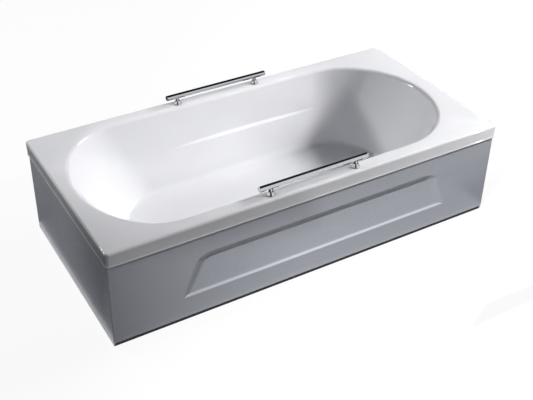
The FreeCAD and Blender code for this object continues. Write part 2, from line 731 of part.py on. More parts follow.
def recess_block(name, grown):
    """The front panel's recess as a solid, or the same grown by the panel's wall."""
    level_growth = grown / cosine(s.recessTaper)
    low = s.recessBottom - level_growth
    high = recess_top + level_growth
    lean = (recess_low_reach - recess_high_reach) / (recess_top - s.recessBottom)
    low_reach = recess_low_reach + level_growth + lean * level_growth
    high_reach = recess_high_reach + level_growth - lean * level_growth
    sketch_body = doc.addObject("PartDesign::Body", name + "_taper")
    sketch = outline(sketch_body, name + "_outline", "XZ_Plane",
                     [(-low_reach, low), (low_reach, low), (high_reach, high), (-high_reach, high)])
    pad = sketch_body.newObject("PartDesign::Pad", name + "_pad")
    pad.Profile = sketch
    pad.Reversed = True
    bind(pad, "Length", s.recessDeep + grown + s.overrun)
    pad.TaperAngle = -s.recessTaper.value
    pad.setExpression("TaperAngle", "-%s" % s.recessTaper.text)
    put(sketch_body, s.recessShift, -panel_y, 0)
    slope = (s.recessDeep - s.recessShallow) / (recess_top - s.recessBottom)
    run = s.overrun * 2
    shallow = s.recessShallow + grown - slope * run
    deep = s.recessDeep + grown + slope * run
    wedge = padded(name + "_slope", "YZ_Plane",
                   [(-s.overrun, s.recessBottom - run), (shallow, s.recessBottom - run),
                    (deep, recess_top + run), (-s.overrun, recess_top + run)],
                   2 * low_reach + s.overrun, s.recessShift, -panel_y, 0, midplane=True)
    block = common(name + "_sharp", sketch_body, wedge)
    middle = (recess_top + s.recessBottom).value / 2
    short = s.recessShallow.value / 2
    for place, radius, upper in (("top", s.recessCorner, True), ("low", s.recessLowCorner, False)):
        block = rounded("%s_%s_corners" % (name, place), block, radius + grown,
                        lambda edge: edge.BoundBox.YLength > short
                        and edge.BoundBox.XLength < recess_high_reach.value / 2
                        and (edge.BoundBox.ZMin > middle) == upper
                        and (edge.BoundBox.ZMax < middle) != upper)
    return block


def make_front_apron():
    """Front panel of one sheet, its recess pressed in, with a flange along the bottom."""
    plate = padded("apron_plate", "XY_Plane",
                   [(-panel_x, -panel_y), (panel_x, -panel_y),
                    (panel_x, -inside_y), (-panel_x, -inside_y)],
                   panel_top - s.apronBottom, 0, 0, s.apronBottom)
    plate = dressed(plate, s.panelCorner,
                    lambda edge: edge.BoundBox.ZLength > s.lipDrop.value
                    and edge.BoundBox.YMax < -(inside_y + panel_y).value / 2)
    flange = box("apron_flange", 2 * base_reach, s.apronFlangeDepth, s.panelThick,
                 -base_reach, -inside_y, s.apronFlangeHeight)
    back = recess_block("recess_back", s.panelThick)
    hollow = recess_block("recess_hollow", ZERO)
    blank = fused("apron_blank", plate, flange, back)
    holes = [cylinder("apron_screw_hole_%d" % number, s.screwRadius + s.seatGap,
                      s.panelThick + 2 * s.overrun, x, -base_line,
                      s.apronFlangeHeight - s.overrun)
             for number, x in enumerate((-clip_reach, clip_reach), 1)]
    subpart("front_apron", cut("front_apron", blank, hollow, *holes))


def make_end_panels():
    """Flat end panels with turned-in edges at the front and the wall side."""
    front = seat_y
    height = panel_top - s.endPanelBottom
    flange_top = s.rimHeight - s.flangeShort
    flange_bottom = s.apronFlangeHeight + s.seatGap
    for name, side in (("head", -1), ("foot", 1)):
        low_x = -panel_x if side < 0 else inside_x
        plate = box(name + "_panel_plate", s.panelThick, inside_y + front, height,
                    low_x, -front, s.endPanelBottom)
        flange_x = -panel_x if side < 0 else panel_x - s.flangeWidth
        pieces = [plate]
        for place, y in (("front", -front), ("rear", inside_y - s.panelThick)):
            pieces.append(box("%s_panel_%s_flange" % (name, place), s.flangeWidth, s.panelThick,
                              flange_top - flange_bottom, flange_x, y, flange_bottom))
        subpart(name + "_end_panel", fused(name + "_end_panel", *pieces))


def make_plinth():
    """Dark strip between the front panel and the floor."""
    strip = box("front_plinth", 2 * (inside_x - s.seatGap), s.plinthDepth,
                s.apronFlangeHeight - s.plinthBottom,
                s.seatGap - inside_x, s.plinthInset - panel_y, s.plinthBottom)
    subpart("front_plinth", strip)


def make_panel_clips():
    """Angle clips that hold the panels' top edges, and every panel screw."""
    clips = []
    screws = []
    leg_z = rail_under - s.clipThick
    shaft = s.screwRadius + s.seatGap
    places = [("front_%d" % number, x, screw_line_y, "y")
              for number, x in enumerate((-clip_reach, ZERO, clip_reach), 1)]
    for name, side in (("head", -1), ("foot", 1)):
        for row in (-1, 1):
            places.append(("%s_%d" % (name, row + 2), side * screw_line_x,
                           row * s.endClipLine, "x" if side > 0 else "-x"))
    half = s.clipWidth / 2
    for name, x, y, faces in places:
        if faces == "y":
            leg = (s.clipWidth, s.clipLeg, s.clipThick, x - half, -inside_y, leg_z)
            drop = (s.clipWidth, s.clipThick, s.clipDrop, x - half, -inside_y,
                    rail_under - s.clipDrop)
        elif faces == "x":
            leg = (s.clipLeg, s.clipWidth, s.clipThick, inside_x - s.clipLeg, y - half, leg_z)
            drop = (s.clipThick, s.clipWidth, s.clipDrop, inside_x - s.clipThick, y - half,
                    rail_under - s.clipDrop)
        else:
            leg = (s.clipLeg, s.clipWidth, s.clipThick, -inside_x, y - half, leg_z)
            drop = (s.clipThick, s.clipWidth, s.clipDrop, -inside_x, y - half,
                    rail_under - s.clipDrop)
        angle = fused("clip_angle_" + name, box("clip_leg_" + name, *leg),
                      box("clip_drop_" + name, *drop))
        hole = cylinder("clip_hole_" + name, shaft, s.clipThick + 2 * s.overrun,
                        x, y, leg_z - s.overrun)
        clips.append(cut("clip_" + name, angle, hole))
        screws.append(make_screw(name, x, y, leg_z))
    for number, x in enumerate((-clip_reach, clip_reach), 1):
        screws.append(make_screw("base_%d" % number, x, -base_line, s.apronFlangeHeight))
    subpart("panel_clips", grouped("panel_clips", *clips))
    subpart("panel_screws", grouped("panel_screws", *screws))


def make_screw(name, x, y, z):
    """A screw that goes up from its head at a height."""
    length = s.screwLength - s.overrun - s.clipThick
    head = cylinder("screw_head_" + name, s.screwHeadRadius, s.screwHeadHeight,
                    x, y, z - s.screwHeadHeight)
    shank = cylinder("screw_shank_" + name, s.screwRadius, length + s.clipThick - s.seatGap,
                     x, y, z)
    return fused("screw_" + name, head, shank)


def make_grab_bars():
    """Two grab bars on the rim, each a tube on two posts bolted through the rim."""
    z = s.rimHeight + s.barHeight
    inner = s.barRadius - s.barWall
    tube_half = s.barHalfLength - s.capLength
    seat = s.rimHeight + s.gasketThick
    caps = []
    for name, side in (("front", -1), ("rear", 1)):
        y = side * bar_line
        tube = turned(name + "_bar", [(inner, -tube_half), (s.barRadius, -tube_half),
                                      (s.barRadius, tube_half), (inner, tube_half)],
                      bar_centre, y, z, "x")
        subpart(name + "_bar", tube)
        for end, sign in (("left", -1), ("right", 1)):
            face = sign * tube_half
            plug = inner - s.shaftClearance
            low, high = sign * s.capPlug, sign * s.capLength
            cap = turned("%s_%s_cap" % (name, end),
                         [(0, face + high), (s.barRadius, face + high), (s.barRadius, face),
                          (plug, face), (plug, face - low), (0, face - low)],
                         bar_centre, y, z, "x")
            reach = (s.barHalfLength - s.capEdge).value
            caps.append(dressed(cap, s.capEdge,
                                lambda edge: abs(edge.BoundBox.ZMin) > reach
                                and abs(edge.BoundBox.ZMax) > reach
                                and edge.BoundBox.ZLength < 0.01
                                and edge.BoundBox.XLength > s.barRadius.value))
            x = bar_centre + sign * post_reach
            post = cylinder("%s_%s_post_rod" % (name, end), s.postRadius, z - seat, x, y, seat)
            saddle = cylinder("%s_%s_saddle" % (name, end), s.barRadius + s.seatGap / 2,
                              4 * s.postRadius, x - 2 * s.postRadius, y, z, "x")
            thread = cylinder("%s_%s_thread" % (name, end), s.barStudRadius + s.shaftClearance,
                              s.barStudEngage + s.overrun + s.seatGap, x, y, seat - s.overrun)
            subpart("%s_%s_post" % (name, end),
                    cut("%s_%s_bar_post" % (name, end), post, saddle, thread))
            bore = s.postRadius + s.shaftClearance
            rosette = turned("%s_%s_rosette" % (name, end),
                             [(bore, 0), (s.rosetteRadius, 0), (s.rosetteRadius, s.rosetteEdge),
                              (s.rosetteTopRadius, s.rosetteHeight), (bore, s.rosetteHeight)],
                             x, y, seat)
            subpart("%s_%s_rosette" % (name, end), rosette)
    subpart("bar_end_caps", grouped("bar_end_caps", *caps))
    stud_low = rail_under - s.barStudTail
    washer_z = rail_under - s.barWasherThick
    nut_z = washer_z - s.barNutHeight
    bore = s.barStudRadius + s.shaftClearance
    gaskets, studs, washers, nuts = [], [], [], []
    for number, (x, y) in enumerate(bar_places, 1):
        hole = s.barStudRadius + s.holeClearance
        gaskets.append(turned("bar_gasket_%d" % number,
                              [(hole, 0), (s.rosetteRadius - s.holeClearance, 0),
                               (s.rosetteRadius - s.holeClearance, s.gasketThick),
                               (hole, s.gasketThick)], x, y, s.rimHeight))
        studs.append(cylinder("bar_stud_%d" % number, s.barStudRadius,
                              seat + s.barStudEngage - stud_low, x, y, stud_low))
        washers.append(turned("bar_washer_%d" % number,
                              [(bore, 0), (s.barWasherRadius, 0),
                               (s.barWasherRadius, s.barWasherThick), (bore, s.barWasherThick)],
                              x, y, washer_z))
        blank = hexagon("bar_nut_blank_%d" % number, s.barNutFlats, s.barNutHeight, x, y, nut_z)
        drill = cylinder("bar_nut_bore_%d" % number, bore, s.barNutHeight + 2 * s.overrun,
                         x, y, nut_z - s.overrun)
        nuts.append(cut("bar_nut_%d" % number, blank, drill))
    subpart("bar_gaskets", grouped("bar_gaskets", *gaskets))
    subpart("bar_studs", grouped("bar_studs", *studs))
    subpart("bar_washers", grouped("bar_washers", *washers))
    subpart("bar_nuts", grouped("bar_nuts", *nuts))


def spokes(name, count, reach, width, height, z):
    """Bars from the middle to a wall, evenly round."""
    bars = []
    for number in range(count):
        bar = box("%s_%d" % (name, number + 1), reach, width, height, 0, 0, 0)
        turn = Rotation(Vector(0, 0, 1), 360 * number / count)
        bar.Placement = Placement(turn.multVec(Vector(0, -width.value / 2, 0)), turn)
        bind(bar, "Placement.Base.x", width * (math.sin(math.radians(360 * number / count)) / 2))
        bind(bar, "Placement.Base.y", width * (-math.cos(math.radians(360 * number / count)) / 2))
        bind(bar, "Placement.Base.z", z)
        bars.append(bar)
    return bars


def make_waste():
    """Waste fitting in the basin's floor with its pop-up plug."""
    x = waste_x
    flange_z = floor_top + s.gasketThick
    flange_top = flange_z + s.wasteFlangeThick
    guide = s.stemRadius + s.shaftClearance
    ring = turned("waste_ring",
                  [(s.throatBore, -s.throatLength), (s.throatRadius, -s.throatLength),
                   (s.throatRadius, 0), (s.wasteFlangeRadius, 0),
                   (s.wasteFlangeRadius, s.wasteFlangeThick), (s.throatBore, s.wasteFlangeThick)])
    reach = (s.throatBore + s.throatRadius) / 2
    arms = spokes("waste_arm", 3, reach, s.spiderArm, s.spiderHeight, -s.throatLength)
    hub = cylinder("waste_hub", s.spiderHub, s.spiderHeight, 0, 0, -s.throatLength)
    core = cylinder("waste_core", guide, s.throatLength + s.overrun, 0, 0,
                    -s.throatLength - s.overrun)
    flange = cut("waste_flange", fused("waste_casting", ring, hub, *arms), core)
    subpart("waste_flange", put(flange, x, 0, flange_z))
    plug_z = flange_top + s.sealThick
    plug = turned("waste_plug",
                  [(0, -s.stemLength), (s.stemRadius, -s.stemLength), (s.stemRadius, 0),
                   (s.plugRadius, 0), (s.plugRadius, s.plugThick), (0, s.plugThick)])
    dressed(plug, s.plugEdge, lambda edge: level(edge, s.plugThick)
            and edge.BoundBox.XLength > s.plugRadius.value)
    subpart("waste_plug", put(plug, x, 0, plug_z))
    seal = turned("plug_seal", [(s.sealBore, 0), (s.sealRadius, 0),
                                (s.sealRadius, s.sealThick), (s.sealBore, s.sealThick)],
                  x, 0, flange_top)
    subpart("plug_seal", seal)


def make_waste_body():
    """Cup under the waste, with the outlet tail and the port for the overflow pipe."""
    x = waste_x
    top = floor_under - s.gasketThick
    inner = s.bodyRadius - s.bodyWall
    cup = turned("waste_cup",
                 [(0, s.bodyBottom), (s.bodyRadius, s.bodyBottom),
                  (s.bodyRadius, top - s.bodyFlangeThick),
                  (s.bodyFlangeRadius, top - s.bodyFlangeThick), (s.bodyFlangeRadius, top),
                  (0, top)], x, 0, 0)
    tail = cylinder("waste_tail", s.outletRadius, outlet_reach, x, 0, s.pipeHeight, "y")
    port = cylinder("waste_port", s.portRadius, s.portReach, x, 0, s.pipeHeight, "-y")
    stop = cylinder("waste_tail_stop", s.outletRadius + s.outletStop, s.outletStop,
                    x, outlet_reach - s.outletSpigot - s.outletStop, s.pipeHeight, "y")
    solid = fused("waste_body_solid", cup, tail, port, stop)
    hollow = cylinder("waste_cup_hollow", inner, top, x, 0, s.bodyBottom + s.bodyWall)
    tail_bore = cylinder("waste_tail_bore", s.outletRadius - s.outletWall,
                         outlet_reach + s.overrun, x, 0, s.pipeHeight, "y")
    port_bore = cylinder("waste_port_bore", s.pipeRadius + s.shaftClearance,
                         s.portReach + s.overrun, x, 0, s.pipeHeight, "-y")
    subpart("waste_body", cut("waste_body", solid, hollow, tail_bore, port_bore))


def pipe_path(start_in, end_in):
    """The overflow pipe's middle line, from inside the elbow to inside the waste's port."""
    frame = overflow_frame()
    back = -pipe_offset.value
    start = frame.multVec(Vector(0, start_in, back))
    down = frame.Rotation.multVec(Vector(0, 1, 0))
    z = s.pipeHeight.value
    corner = start + down * ((z - start.z) / down.z)
    end = Vector(start.x, -end_in, z)
    level_run = (end - corner).normalize()
    turn = down.getAngle(level_run)
    tangent = s.pipeBend.value * math.tan(turn / 2)
    first = corner - down * tangent
    second = corner + level_run * tangent
    inward = (level_run - down).normalize()
    centre = corner + inward * math.hypot(tangent, s.pipeBend.value)
    middle = centre + (corner - centre).normalize() * s.pipeBend.value
    return Part.Wire([Part.makeLine(start, first), Part.Arc(first, middle, second).toShape(),
                      Part.makeLine(second, end)])


def swept(path, radius):
    """A round bar along a path."""
    edge = path.Edges[0]
    start = edge.valueAt(edge.FirstParameter)
    ring = Part.Wire(Part.makeCircle(radius, start, edge.tangentAt(edge.FirstParameter)))
    return path.makePipeShell([ring], True, True)


def make_slip_nut(name):
    """A ribbed nut with its mouth at its own zero, part over the port and part over the pipe."""
    over_port = s.portRadius + s.seatGap
    over_pipe = s.pipeRadius + s.seatGap
    blank = turned(name + "_blank",
                   [(over_port, -s.nutOverPort), (s.nutRadius - s.nutRibRadius, -s.nutOverPort),
                    (s.nutRadius - s.nutRibRadius, s.nutLength - s.nutOverPort),
                    (over_pipe, s.nutLength - s.nutOverPort), (over_pipe, s.seatGap),
                    (over_port, s.seatGap)])
    ribs = []
    count = int(s.nutRibs.value)
    for number in range(count):
        angle = 2 * math.pi * number / count
        middle = s.nutRadius - s.nutRibRadius
        ribs.append(cylinder("%s_rib_%d" % (name, number + 1), s.nutRibRadius, s.nutLength,
                             middle * math.cos(angle), middle * math.sin(angle), -s.nutOverPort))
    return fused(name, blank, *ribs)


def make_overflow():
    """Overflow in the front wall: face ring, knob, cup behind the wall, pipe, nuts and cable."""
    face = s.gasketThick
    sleeve = s.overflowHoleRadius - s.holeClearance
    opening = sleeve - s.overflowSleeveWall
    ring = turned("overflow_ring",
                  [(opening, -s.overflowSleeveLength), (sleeve, -s.overflowSleeveLength),
                   (sleeve, face), (s.overflowRadius, face),
                   (s.overflowRadius, face + s.overflowThick), (opening, face + s.overflowThick)])
    reach = (opening + sleeve) / 2
    arms = spokes("overflow_arm", 3, reach, s.spiderArm, s.overflowThick, face)
    hub = cylinder("overflow_hub", s.spiderHub, s.overflowThick, 0, 0, face)
    core = cylinder("overflow_core", s.stemRadius + s.shaftClearance,
                    s.overflowThick + 2 * s.overrun, 0, 0, face - s.overrun)
    flange = cut("overflow_flange", fused("overflow_casting", ring, hub, *arms), core)
    subpart("overflow_flange", put_on_wall(flange))
    axis_back = pipe_offset
    knob_z = face + s.overflowThick + s.knobStandoff
    knob_blank = turned("knob_blank",
                        [(0, -axis_back - s.cableRadius), (s.stemRadius, -axis_back - s.cableRadius),
                         (s.stemRadius, knob_z), (s.knobRadius, knob_z),
                         (s.knobRadius, knob_z + s.knobThick), (0, knob_z + s.knobThick)])
    dressed(knob_blank, s.knobEdge, lambda edge: level(edge, knob_z + s.knobThick)
            and edge.BoundBox.XLength > s.knobRadius.value)
    grips = []
    count = int(s.knobGrips.value)
    for number in range(count):
        angle = 2 * math.pi * number / count
        middle = s.knobRadius + s.knobGripRadius - s.knobGripDepth
        grips.append(cylinder("knob_grip_%d" % (number + 1), s.knobGripRadius, s.knobThick,
                              middle * math.cos(angle), middle * math.sin(angle),
                              knob_z + s.overflowThick))
    subpart("overflow_knob", put_on_wall(cut("overflow_knob", knob_blank, *grips)))
    wall_back = -s.shellThick
    back = -s.elbowDepth
    inner = s.elbowRadius - s.elbowWall
    cup = turned("elbow_cup", [(0, back), (s.elbowRadius, back), (s.elbowRadius, wall_back),
                               (0, wall_back)])
    port = cylinder("elbow_port", s.portRadius, s.elbowPort, 0, 0, -axis_back, "y")
    hollow = cylinder("elbow_hollow", inner, s.elbowDepth, 0, 0, back + s.elbowWall)
    bore = cylinder("elbow_bore", s.pipeRadius + s.shaftClearance, s.elbowPort + s.overrun,
                    0, 0, -axis_back, "y")
    elbow = cut("overflow_elbow", fused("elbow_solid", cup, port), hollow, bore)
    subpart("overflow_elbow", put_on_wall(elbow))
    pipe_start = (s.elbowPort - s.pipeEngage).value
    pipe_end = (s.portReach - s.pipeEngage).value
    path = pipe_path(pipe_start, pipe_end)
    pipe = swept(path, s.pipeRadius.value).cut(swept(path, (s.pipeRadius - s.pipeWall).value))
    subpart("overflow_pipe", freeform("overflow_pipe", pipe))
    stand = (s.stemRadius + s.seatGap).value
    cable = swept(pipe_path(stand, stand), s.cableRadius.value)
    subpart("control_cable", freeform("control_cable", cable))
    low_nut = make_slip_nut("low_slip_nut")
    put(low_nut, waste_x, -s.portReach, s.pipeHeight, "-y")
    high_nut = make_slip_nut("high_slip_nut")
    put(high_nut, 0, s.elbowPort, -axis_back, "y")
    high_nut = put_on_wall(grouped("high_slip_nut_place", high_nut))
    subpart("slip_nuts", grouped("slip_nuts", low_nut, high_nut))


def make_waste_gaskets():
    """Rubber rings above and below the floor, and behind the overflow's face ring."""
    x = waste_x
    upper = turned("waste_gasket_upper",
                   [(s.wasteHoleRadius, 0), (s.wasteFlangeRadius - s.holeClearance, 0),
                    (s.wasteFlangeRadius - s.holeClearance, s.gasketThick),
                    (s.wasteHoleRadius, s.gasketThick)], x, 0, floor_top)
    lower = turned("waste_gasket_lower",
                   [(s.wasteHoleRadius, 0), (s.bodyFlangeRadius, 0),
                    (s.bodyFlangeRadius, s.gasketThick), (s.wasteHoleRadius, s.gasketThick)],
                   x, 0, floor_under - s.gasketThick)
    wall = turned("overflow_gasket",
                  [(s.overflowHoleRadius, 0), (s.overflowRadius - s.holeClearance, 0),
                   (s.overflowRadius - s.holeClearance, s.gasketThick),
                   (s.overflowHoleRadius, s.gasketThick)])
    subpart("waste_gaskets", grouped("waste_gaskets", upper, lower, put_on_wall(wall)))


make_tub_shell()
make_base_board()
make_rim_rails()
make_frame()
make_feet()
make_front_apron()
make_end_panels()
make_plinth()
make_panel_clips()
make_grab_bars()
make_waste()
make_waste_body()
make_waste_gaskets()
make_overflow()

doc.recompute()
for thing in doc.Objects:
    if {"Invalid", "Error"} & set(thing.State):
        raise RuntimeError("%s failed: %s" % (thing.Name, thing.State))
os.makedirs("parts", exist_ok=True)
for thing in subparts:
    if thing.Shape.isNull() or not thing.Shape.isValid():
        raise RuntimeError(thing.Label + " has no valid shape")
for thing in subparts:
    thing.Shape.exportStep("parts/%s.step" % thing.Label)
    print("%-24s %2d solids %12.0f mm3" % (thing.Label, len(thing.Shape.Solids), thing.Shape.Volume))
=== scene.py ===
# A fitted acrylic bathtub with its panels, two grab bars and a pop-up waste.
# Metres. X runs towards the foot end, -Y is the side of the front panel, Z is up.
import json
import math

import bmesh
import bpy
import numpy as np
from mathutils import Matrix, Vector


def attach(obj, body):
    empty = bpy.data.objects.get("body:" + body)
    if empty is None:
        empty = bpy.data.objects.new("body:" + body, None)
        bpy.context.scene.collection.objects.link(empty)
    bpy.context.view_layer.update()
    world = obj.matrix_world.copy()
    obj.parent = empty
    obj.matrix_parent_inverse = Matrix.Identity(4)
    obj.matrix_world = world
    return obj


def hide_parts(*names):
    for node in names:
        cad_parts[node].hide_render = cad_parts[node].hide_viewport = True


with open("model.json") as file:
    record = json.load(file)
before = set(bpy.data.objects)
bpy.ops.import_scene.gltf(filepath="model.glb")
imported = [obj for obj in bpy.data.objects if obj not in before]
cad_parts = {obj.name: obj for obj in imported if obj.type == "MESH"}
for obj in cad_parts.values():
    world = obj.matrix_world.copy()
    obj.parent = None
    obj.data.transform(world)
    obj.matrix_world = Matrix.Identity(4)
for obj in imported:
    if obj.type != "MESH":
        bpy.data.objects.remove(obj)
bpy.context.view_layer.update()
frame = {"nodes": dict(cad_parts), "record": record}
nodes = frame["nodes"]
print("Frame loaded with", len(nodes), "nodes")


# Camera

cameraFit = {
    "place": (-1.6063, -2.6430, 2.3064),
    "azimuth": 29.36,        # degrees from +Y towards +X
    "elevation": 32.83,      # degrees that it looks down
    "lens": 61.48,           # millimetres
    "shift": (0.0533, -0.0835),
    "farthest": 100,         # metres
}


def placeCamera(fit):
    camera = bpy.data.objects.new("Camera", bpy.data.cameras.new("Camera"))
    bpy.context.scene.collection.objects.link(camera)
    azimuth, elevation = math.radians(fit["azimuth"]), math.radians(fit["elevation"])
    look = Vector((math.sin(azimuth) * math.cos(elevation),
                   math.cos(azimuth) * math.cos(elevation), -math.sin(elevation)))
    camera.location = fit["place"]
    camera.rotation_euler = look.to_track_quat("-Z", "Y").to_euler()
    camera.data.lens = fit["lens"]
    camera.data.shift_x, camera.data.shift_y = fit["shift"]
    camera.data.clip_end = fit["farthest"]
    bpy.context.scene.camera = camera


placeCamera(cameraFit)
print("Camera placed")


# Materials

def hexColour(code):
    # sRGB hex to the linear values that a shader takes
    parts = [int(code[i:i + 2], 16) / 255 for i in (1, 3, 5)]
    linear = [p / 12.92 if p <= 0.04045 else ((p + 0.055) / 1.055) ** 2.4 for p in parts]
    return (*linear, 1)


def addNode(tree, kind, settings=None, values=None, links=None):
    # one node with its settings, its fixed values and what feeds it
    node = tree.nodes.new(kind)
    for name, value in (settings or {}).items():
        setattr(node, name, value)
    for name, value in (values or {}).items():
        node.inputs[name].default_value = value
    for name, source in (links or {}).items():
        tree.links.new(source, node.inputs[name])
    return node


def clearedTree(owner):
    # the node tree of a material or the world, emptied
    owner.use_nodes = True
    owner.node_tree.nodes.clear()
    return owner.node_tree


def startMaterial(name):
    material = bpy.data.materials.new(name)
    tree = clearedTree(material)
    place = addNode(tree, "ShaderNodeTexCoord").outputs["Object"]
    return material, tree, place


def finishMaterial(material, tree, values, links):
    shader = addNode(tree, "ShaderNodeBsdfPrincipled", None, values, links)
    addNode(tree, "ShaderNodeOutputMaterial", None, None, {"Surface": shader.outputs["BSDF"]})
    return material


def between(tree, factor, low, high):
    # a value that runs from low to high with a 0 to 1 factor
    return addNode(tree, "ShaderNodeMapRange", None, {"To Min": low, "To Max": high},
                   {"Value": factor}).outputs["Result"]


def twoColours(tree, factor, first, second):
    node = addNode(tree, "ShaderNodeMix", {"data_type": "RGBA"}, None, {"Factor": factor})
    colours = [socket for socket in node.inputs if socket.type == "RGBA"]
    colours[0].default_value = hexColour(first)
    colours[1].default_value = hexColour(second)
    return [socket for socket in node.outputs if socket.type == "RGBA"][0]


def perMetre(millimetres):
    # texture scale whose features are about this far apart
    return 1000 / millimetres


def castAcrylic():
    # cast sheet, vacuum formed: deep gloss with a faint waviness that bends reflections
    material, tree, place = startMaterial("castAcrylic")
    cloud = addNode(tree, "ShaderNodeTexNoise", None,
                    {"Scale": perMetre(140), "Detail": 2}, {"Vector": place})
    handling = addNode(tree, "ShaderNodeTexNoise", None,
                       {"Scale": perMetre(18), "Detail": 5, "Roughness": 0.6}, {"Vector": place})
    wave = addNode(tree, "ShaderNodeTexNoise", None,
                   {"Scale": perMetre(35), "Detail": 1}, {"Vector": place})
    bump = addNode(tree, "ShaderNodeBump", None, {"Strength": 0.25, "Distance": 0.0003},
                   {"Height": wave.outputs["Fac"]})
    colour = twoColours(tree, cloud.outputs["Fac"], "#E9E9EC", "#EEEEF0")
    return finishMaterial(material, tree, {"IOR": 1.49},
                          {"Base Color": colour,
                           "Roughness": between(tree, handling.outputs["Fac"], 0.04, 0.09),
                           "Normal": bump.outputs["Normal"]})


def panelAcrylicPaintedShade():
    # thinner formed sheet, less polished: softer gloss and a fine grain from the mould,
    # whose real 0.5 mm pebbles are drawn at 4 mm to show at this size; its blue-grey colour is
    # painted shade
    material, tree, place = startMaterial("panelAcrylicPaintedShade")
    cloud = addNode(tree, "ShaderNodeTexNoise", None,
                    {"Scale": perMetre(160), "Detail": 3}, {"Vector": place})
    grain = addNode(tree, "ShaderNodeTexNoise", None,
                    {"Scale": perMetre(4), "Detail": 3, "Roughness": 0.65}, {"Vector": place})
    bump = addNode(tree, "ShaderNodeBump", None, {"Strength": 0.35, "Distance": 0.0003},
                   {"Height": grain.outputs["Fac"]})
    # painted shade: the panels are white acrylic like the shell, and this blue-grey, darker than
    # the shell's white, stands in for the shade on them
    colour = twoColours(tree, cloud.outputs["Fac"], "#CCCFD9", "#D2D5DE")
    return finishMaterial(material, tree, {"IOR": 1.49},
                          {"Base Color": colour,
                           "Roughness": between(tree, grain.outputs["Fac"], 0.20, 0.34),
                           "Normal": bump.outputs["Normal"]})


def glassFibreBack():
    # chopped glass strand in polyester resin, rolled on by hand: dull, cream and lumpy
    material, tree, place = startMaterial("glassFibreBack")
    lumps = addNode(tree, "ShaderNodeTexNoise", None,
                    {"Scale": perMetre(30), "Detail": 4}, {"Vector": place})
    strands = addNode(tree, "ShaderNodeTexVoronoi", {"feature": "DISTANCE_TO_EDGE"},
                      {"Scale": perMetre(14)}, {"Vector": place})
    mixed = addNode(tree, "ShaderNodeMath", {"operation": "ADD"}, None,
                    {0: lumps.outputs["Fac"], 1: strands.outputs["Distance"]})
    bump = addNode(tree, "ShaderNodeBump", None, {"Strength": 0.6, "Distance": 0.0015},
                   {"Height": mixed.outputs["Value"]})
    colour = twoColours(tree, lumps.outputs["Fac"], "#CFC7AE", "#E2DCC8")
    return finishMaterial(material, tree, {"IOR": 1.55},
                          {"Base Color": colour,
                           "Roughness": between(tree, strands.outputs["Distance"], 0.45, 0.7),
                           "Normal": bump.outputs["Normal"]})


def chromePlate():
    # nickel and chrome plate on brass, mirror bright, with faint marks from the polishing cloth
    material, tree, place = startMaterial("chromePlate")
    cloth = addNode(tree, "ShaderNodeTexNoise", None,
                    {"Scale": perMetre(6), "Detail": 4}, {"Vector": place})
    colour = twoColours(tree, cloth.outputs["Fac"], "#BCBFC3", "#C8CACD")
    return finishMaterial(material, tree, {"Metallic": 1.0},
                          {"Base Color": colour,
                           "Roughness": between(tree, cloth.outputs["Fac"], 0.03, 0.08)})


def planedSoftwood(name, stretch):
    # planed pine: long grain along the rail, growth lines about 4 mm apart
    material, tree, place = startMaterial(name)
    turned = addNode(tree, "ShaderNodeMapping", None, {"Scale": stretch}, {"Vector": place})
    grain = addNode(tree, "ShaderNodeTexNoise", None,
                    {"Scale": perMetre(4), "Detail": 5, "Distortion": 0.4},
                    {"Vector": turned.outputs["Vector"]})
    bump = addNode(tree, "ShaderNodeBump", None, {"Strength": 0.3, "Distance": 0.0003},
                   {"Height": grain.outputs["Fac"]})
    colour = twoColours(tree, grain.outputs["Fac"], "#B98F5C", "#E2C08E")
    return finishMaterial(material, tree, {"IOR": 1.5},
                          {"Base Color": colour,
                           "Roughness": between(tree, grain.outputs["Fac"], 0.55, 0.75),
                           "Normal": bump.outputs["Normal"]})


def particleBoard():
    # resin-bonded chips, about 5 mm long, with a dull waxy face
    material, tree, place = startMaterial("particleBoard")
    chips = addNode(tree, "ShaderNodeTexVoronoi", None,
                    {"Scale": perMetre(5), "Randomness": 1.0}, {"Vector": place})
    bump = addNode(tree, "ShaderNodeBump", None, {"Strength": 0.4, "Distance": 0.0004},
                   {"Height": chips.outputs["Distance"]})
    shade = addNode(tree, "ShaderNodeSeparateColor", None, None, {"Color": chips.outputs["Color"]})
    colour = twoColours(tree, shade.outputs["Red"], "#A98658", "#D6B888")
    return finishMaterial(material, tree, {"Roughness": 0.7, "IOR": 1.5},
                          {"Base Color": colour,
                           "Normal": bump.outputs["Normal"]})


def galvanisedSteel():
    # hot-dip zinc on tube: grey crystals about 12 mm wide that differ in shine
    material, tree, place = startMaterial("galvanisedSteel")
    crystals = addNode(tree, "ShaderNodeTexVoronoi", None, {"Scale": perMetre(12)},
                       {"Vector": place})
    shade = addNode(tree, "ShaderNodeSeparateColor", None, None,
                    {"Color": crystals.outputs["Color"]})
    colour = twoColours(tree, shade.outputs["Red"], "#9DA2A8", "#C6CACE")
    return finishMaterial(material, tree, {"Metallic": 1.0},
                          {"Base Color": colour,
                           "Roughness": between(tree, shade.outputs["Green"], 0.32, 0.52)})


def zincPlate():
    # bright zinc on screws, nuts and rod, with turned marks about 9 mm apart along their length:
    # the wave texture's bands lie 0.314 units apart, before its scale
    material, tree, place = startMaterial("zincPlate")
    turns = addNode(tree, "ShaderNodeTexWave", {"bands_direction": "Z"},
                    {"Scale": 0.314 * perMetre(9.42), "Distortion": 0.0}, {"Vector": place})
    mottle = addNode(tree, "ShaderNodeTexNoise", None, {"Scale": perMetre(5)}, {"Vector": place})
    bump = addNode(tree, "ShaderNodeBump", None, {"Strength": 0.6, "Distance": 0.0004},
                   {"Height": turns.outputs["Fac"]})
    colour = twoColours(tree, mottle.outputs["Fac"], "#B9BCC0", "#D5D7D9")
    return finishMaterial(material, tree, {"Metallic": 1.0},
                          {"Base Color": colour,
                           "Roughness": between(tree, mottle.outputs["Fac"], 0.22, 0.38),
                           "Normal": bump.outputs["Normal"]})


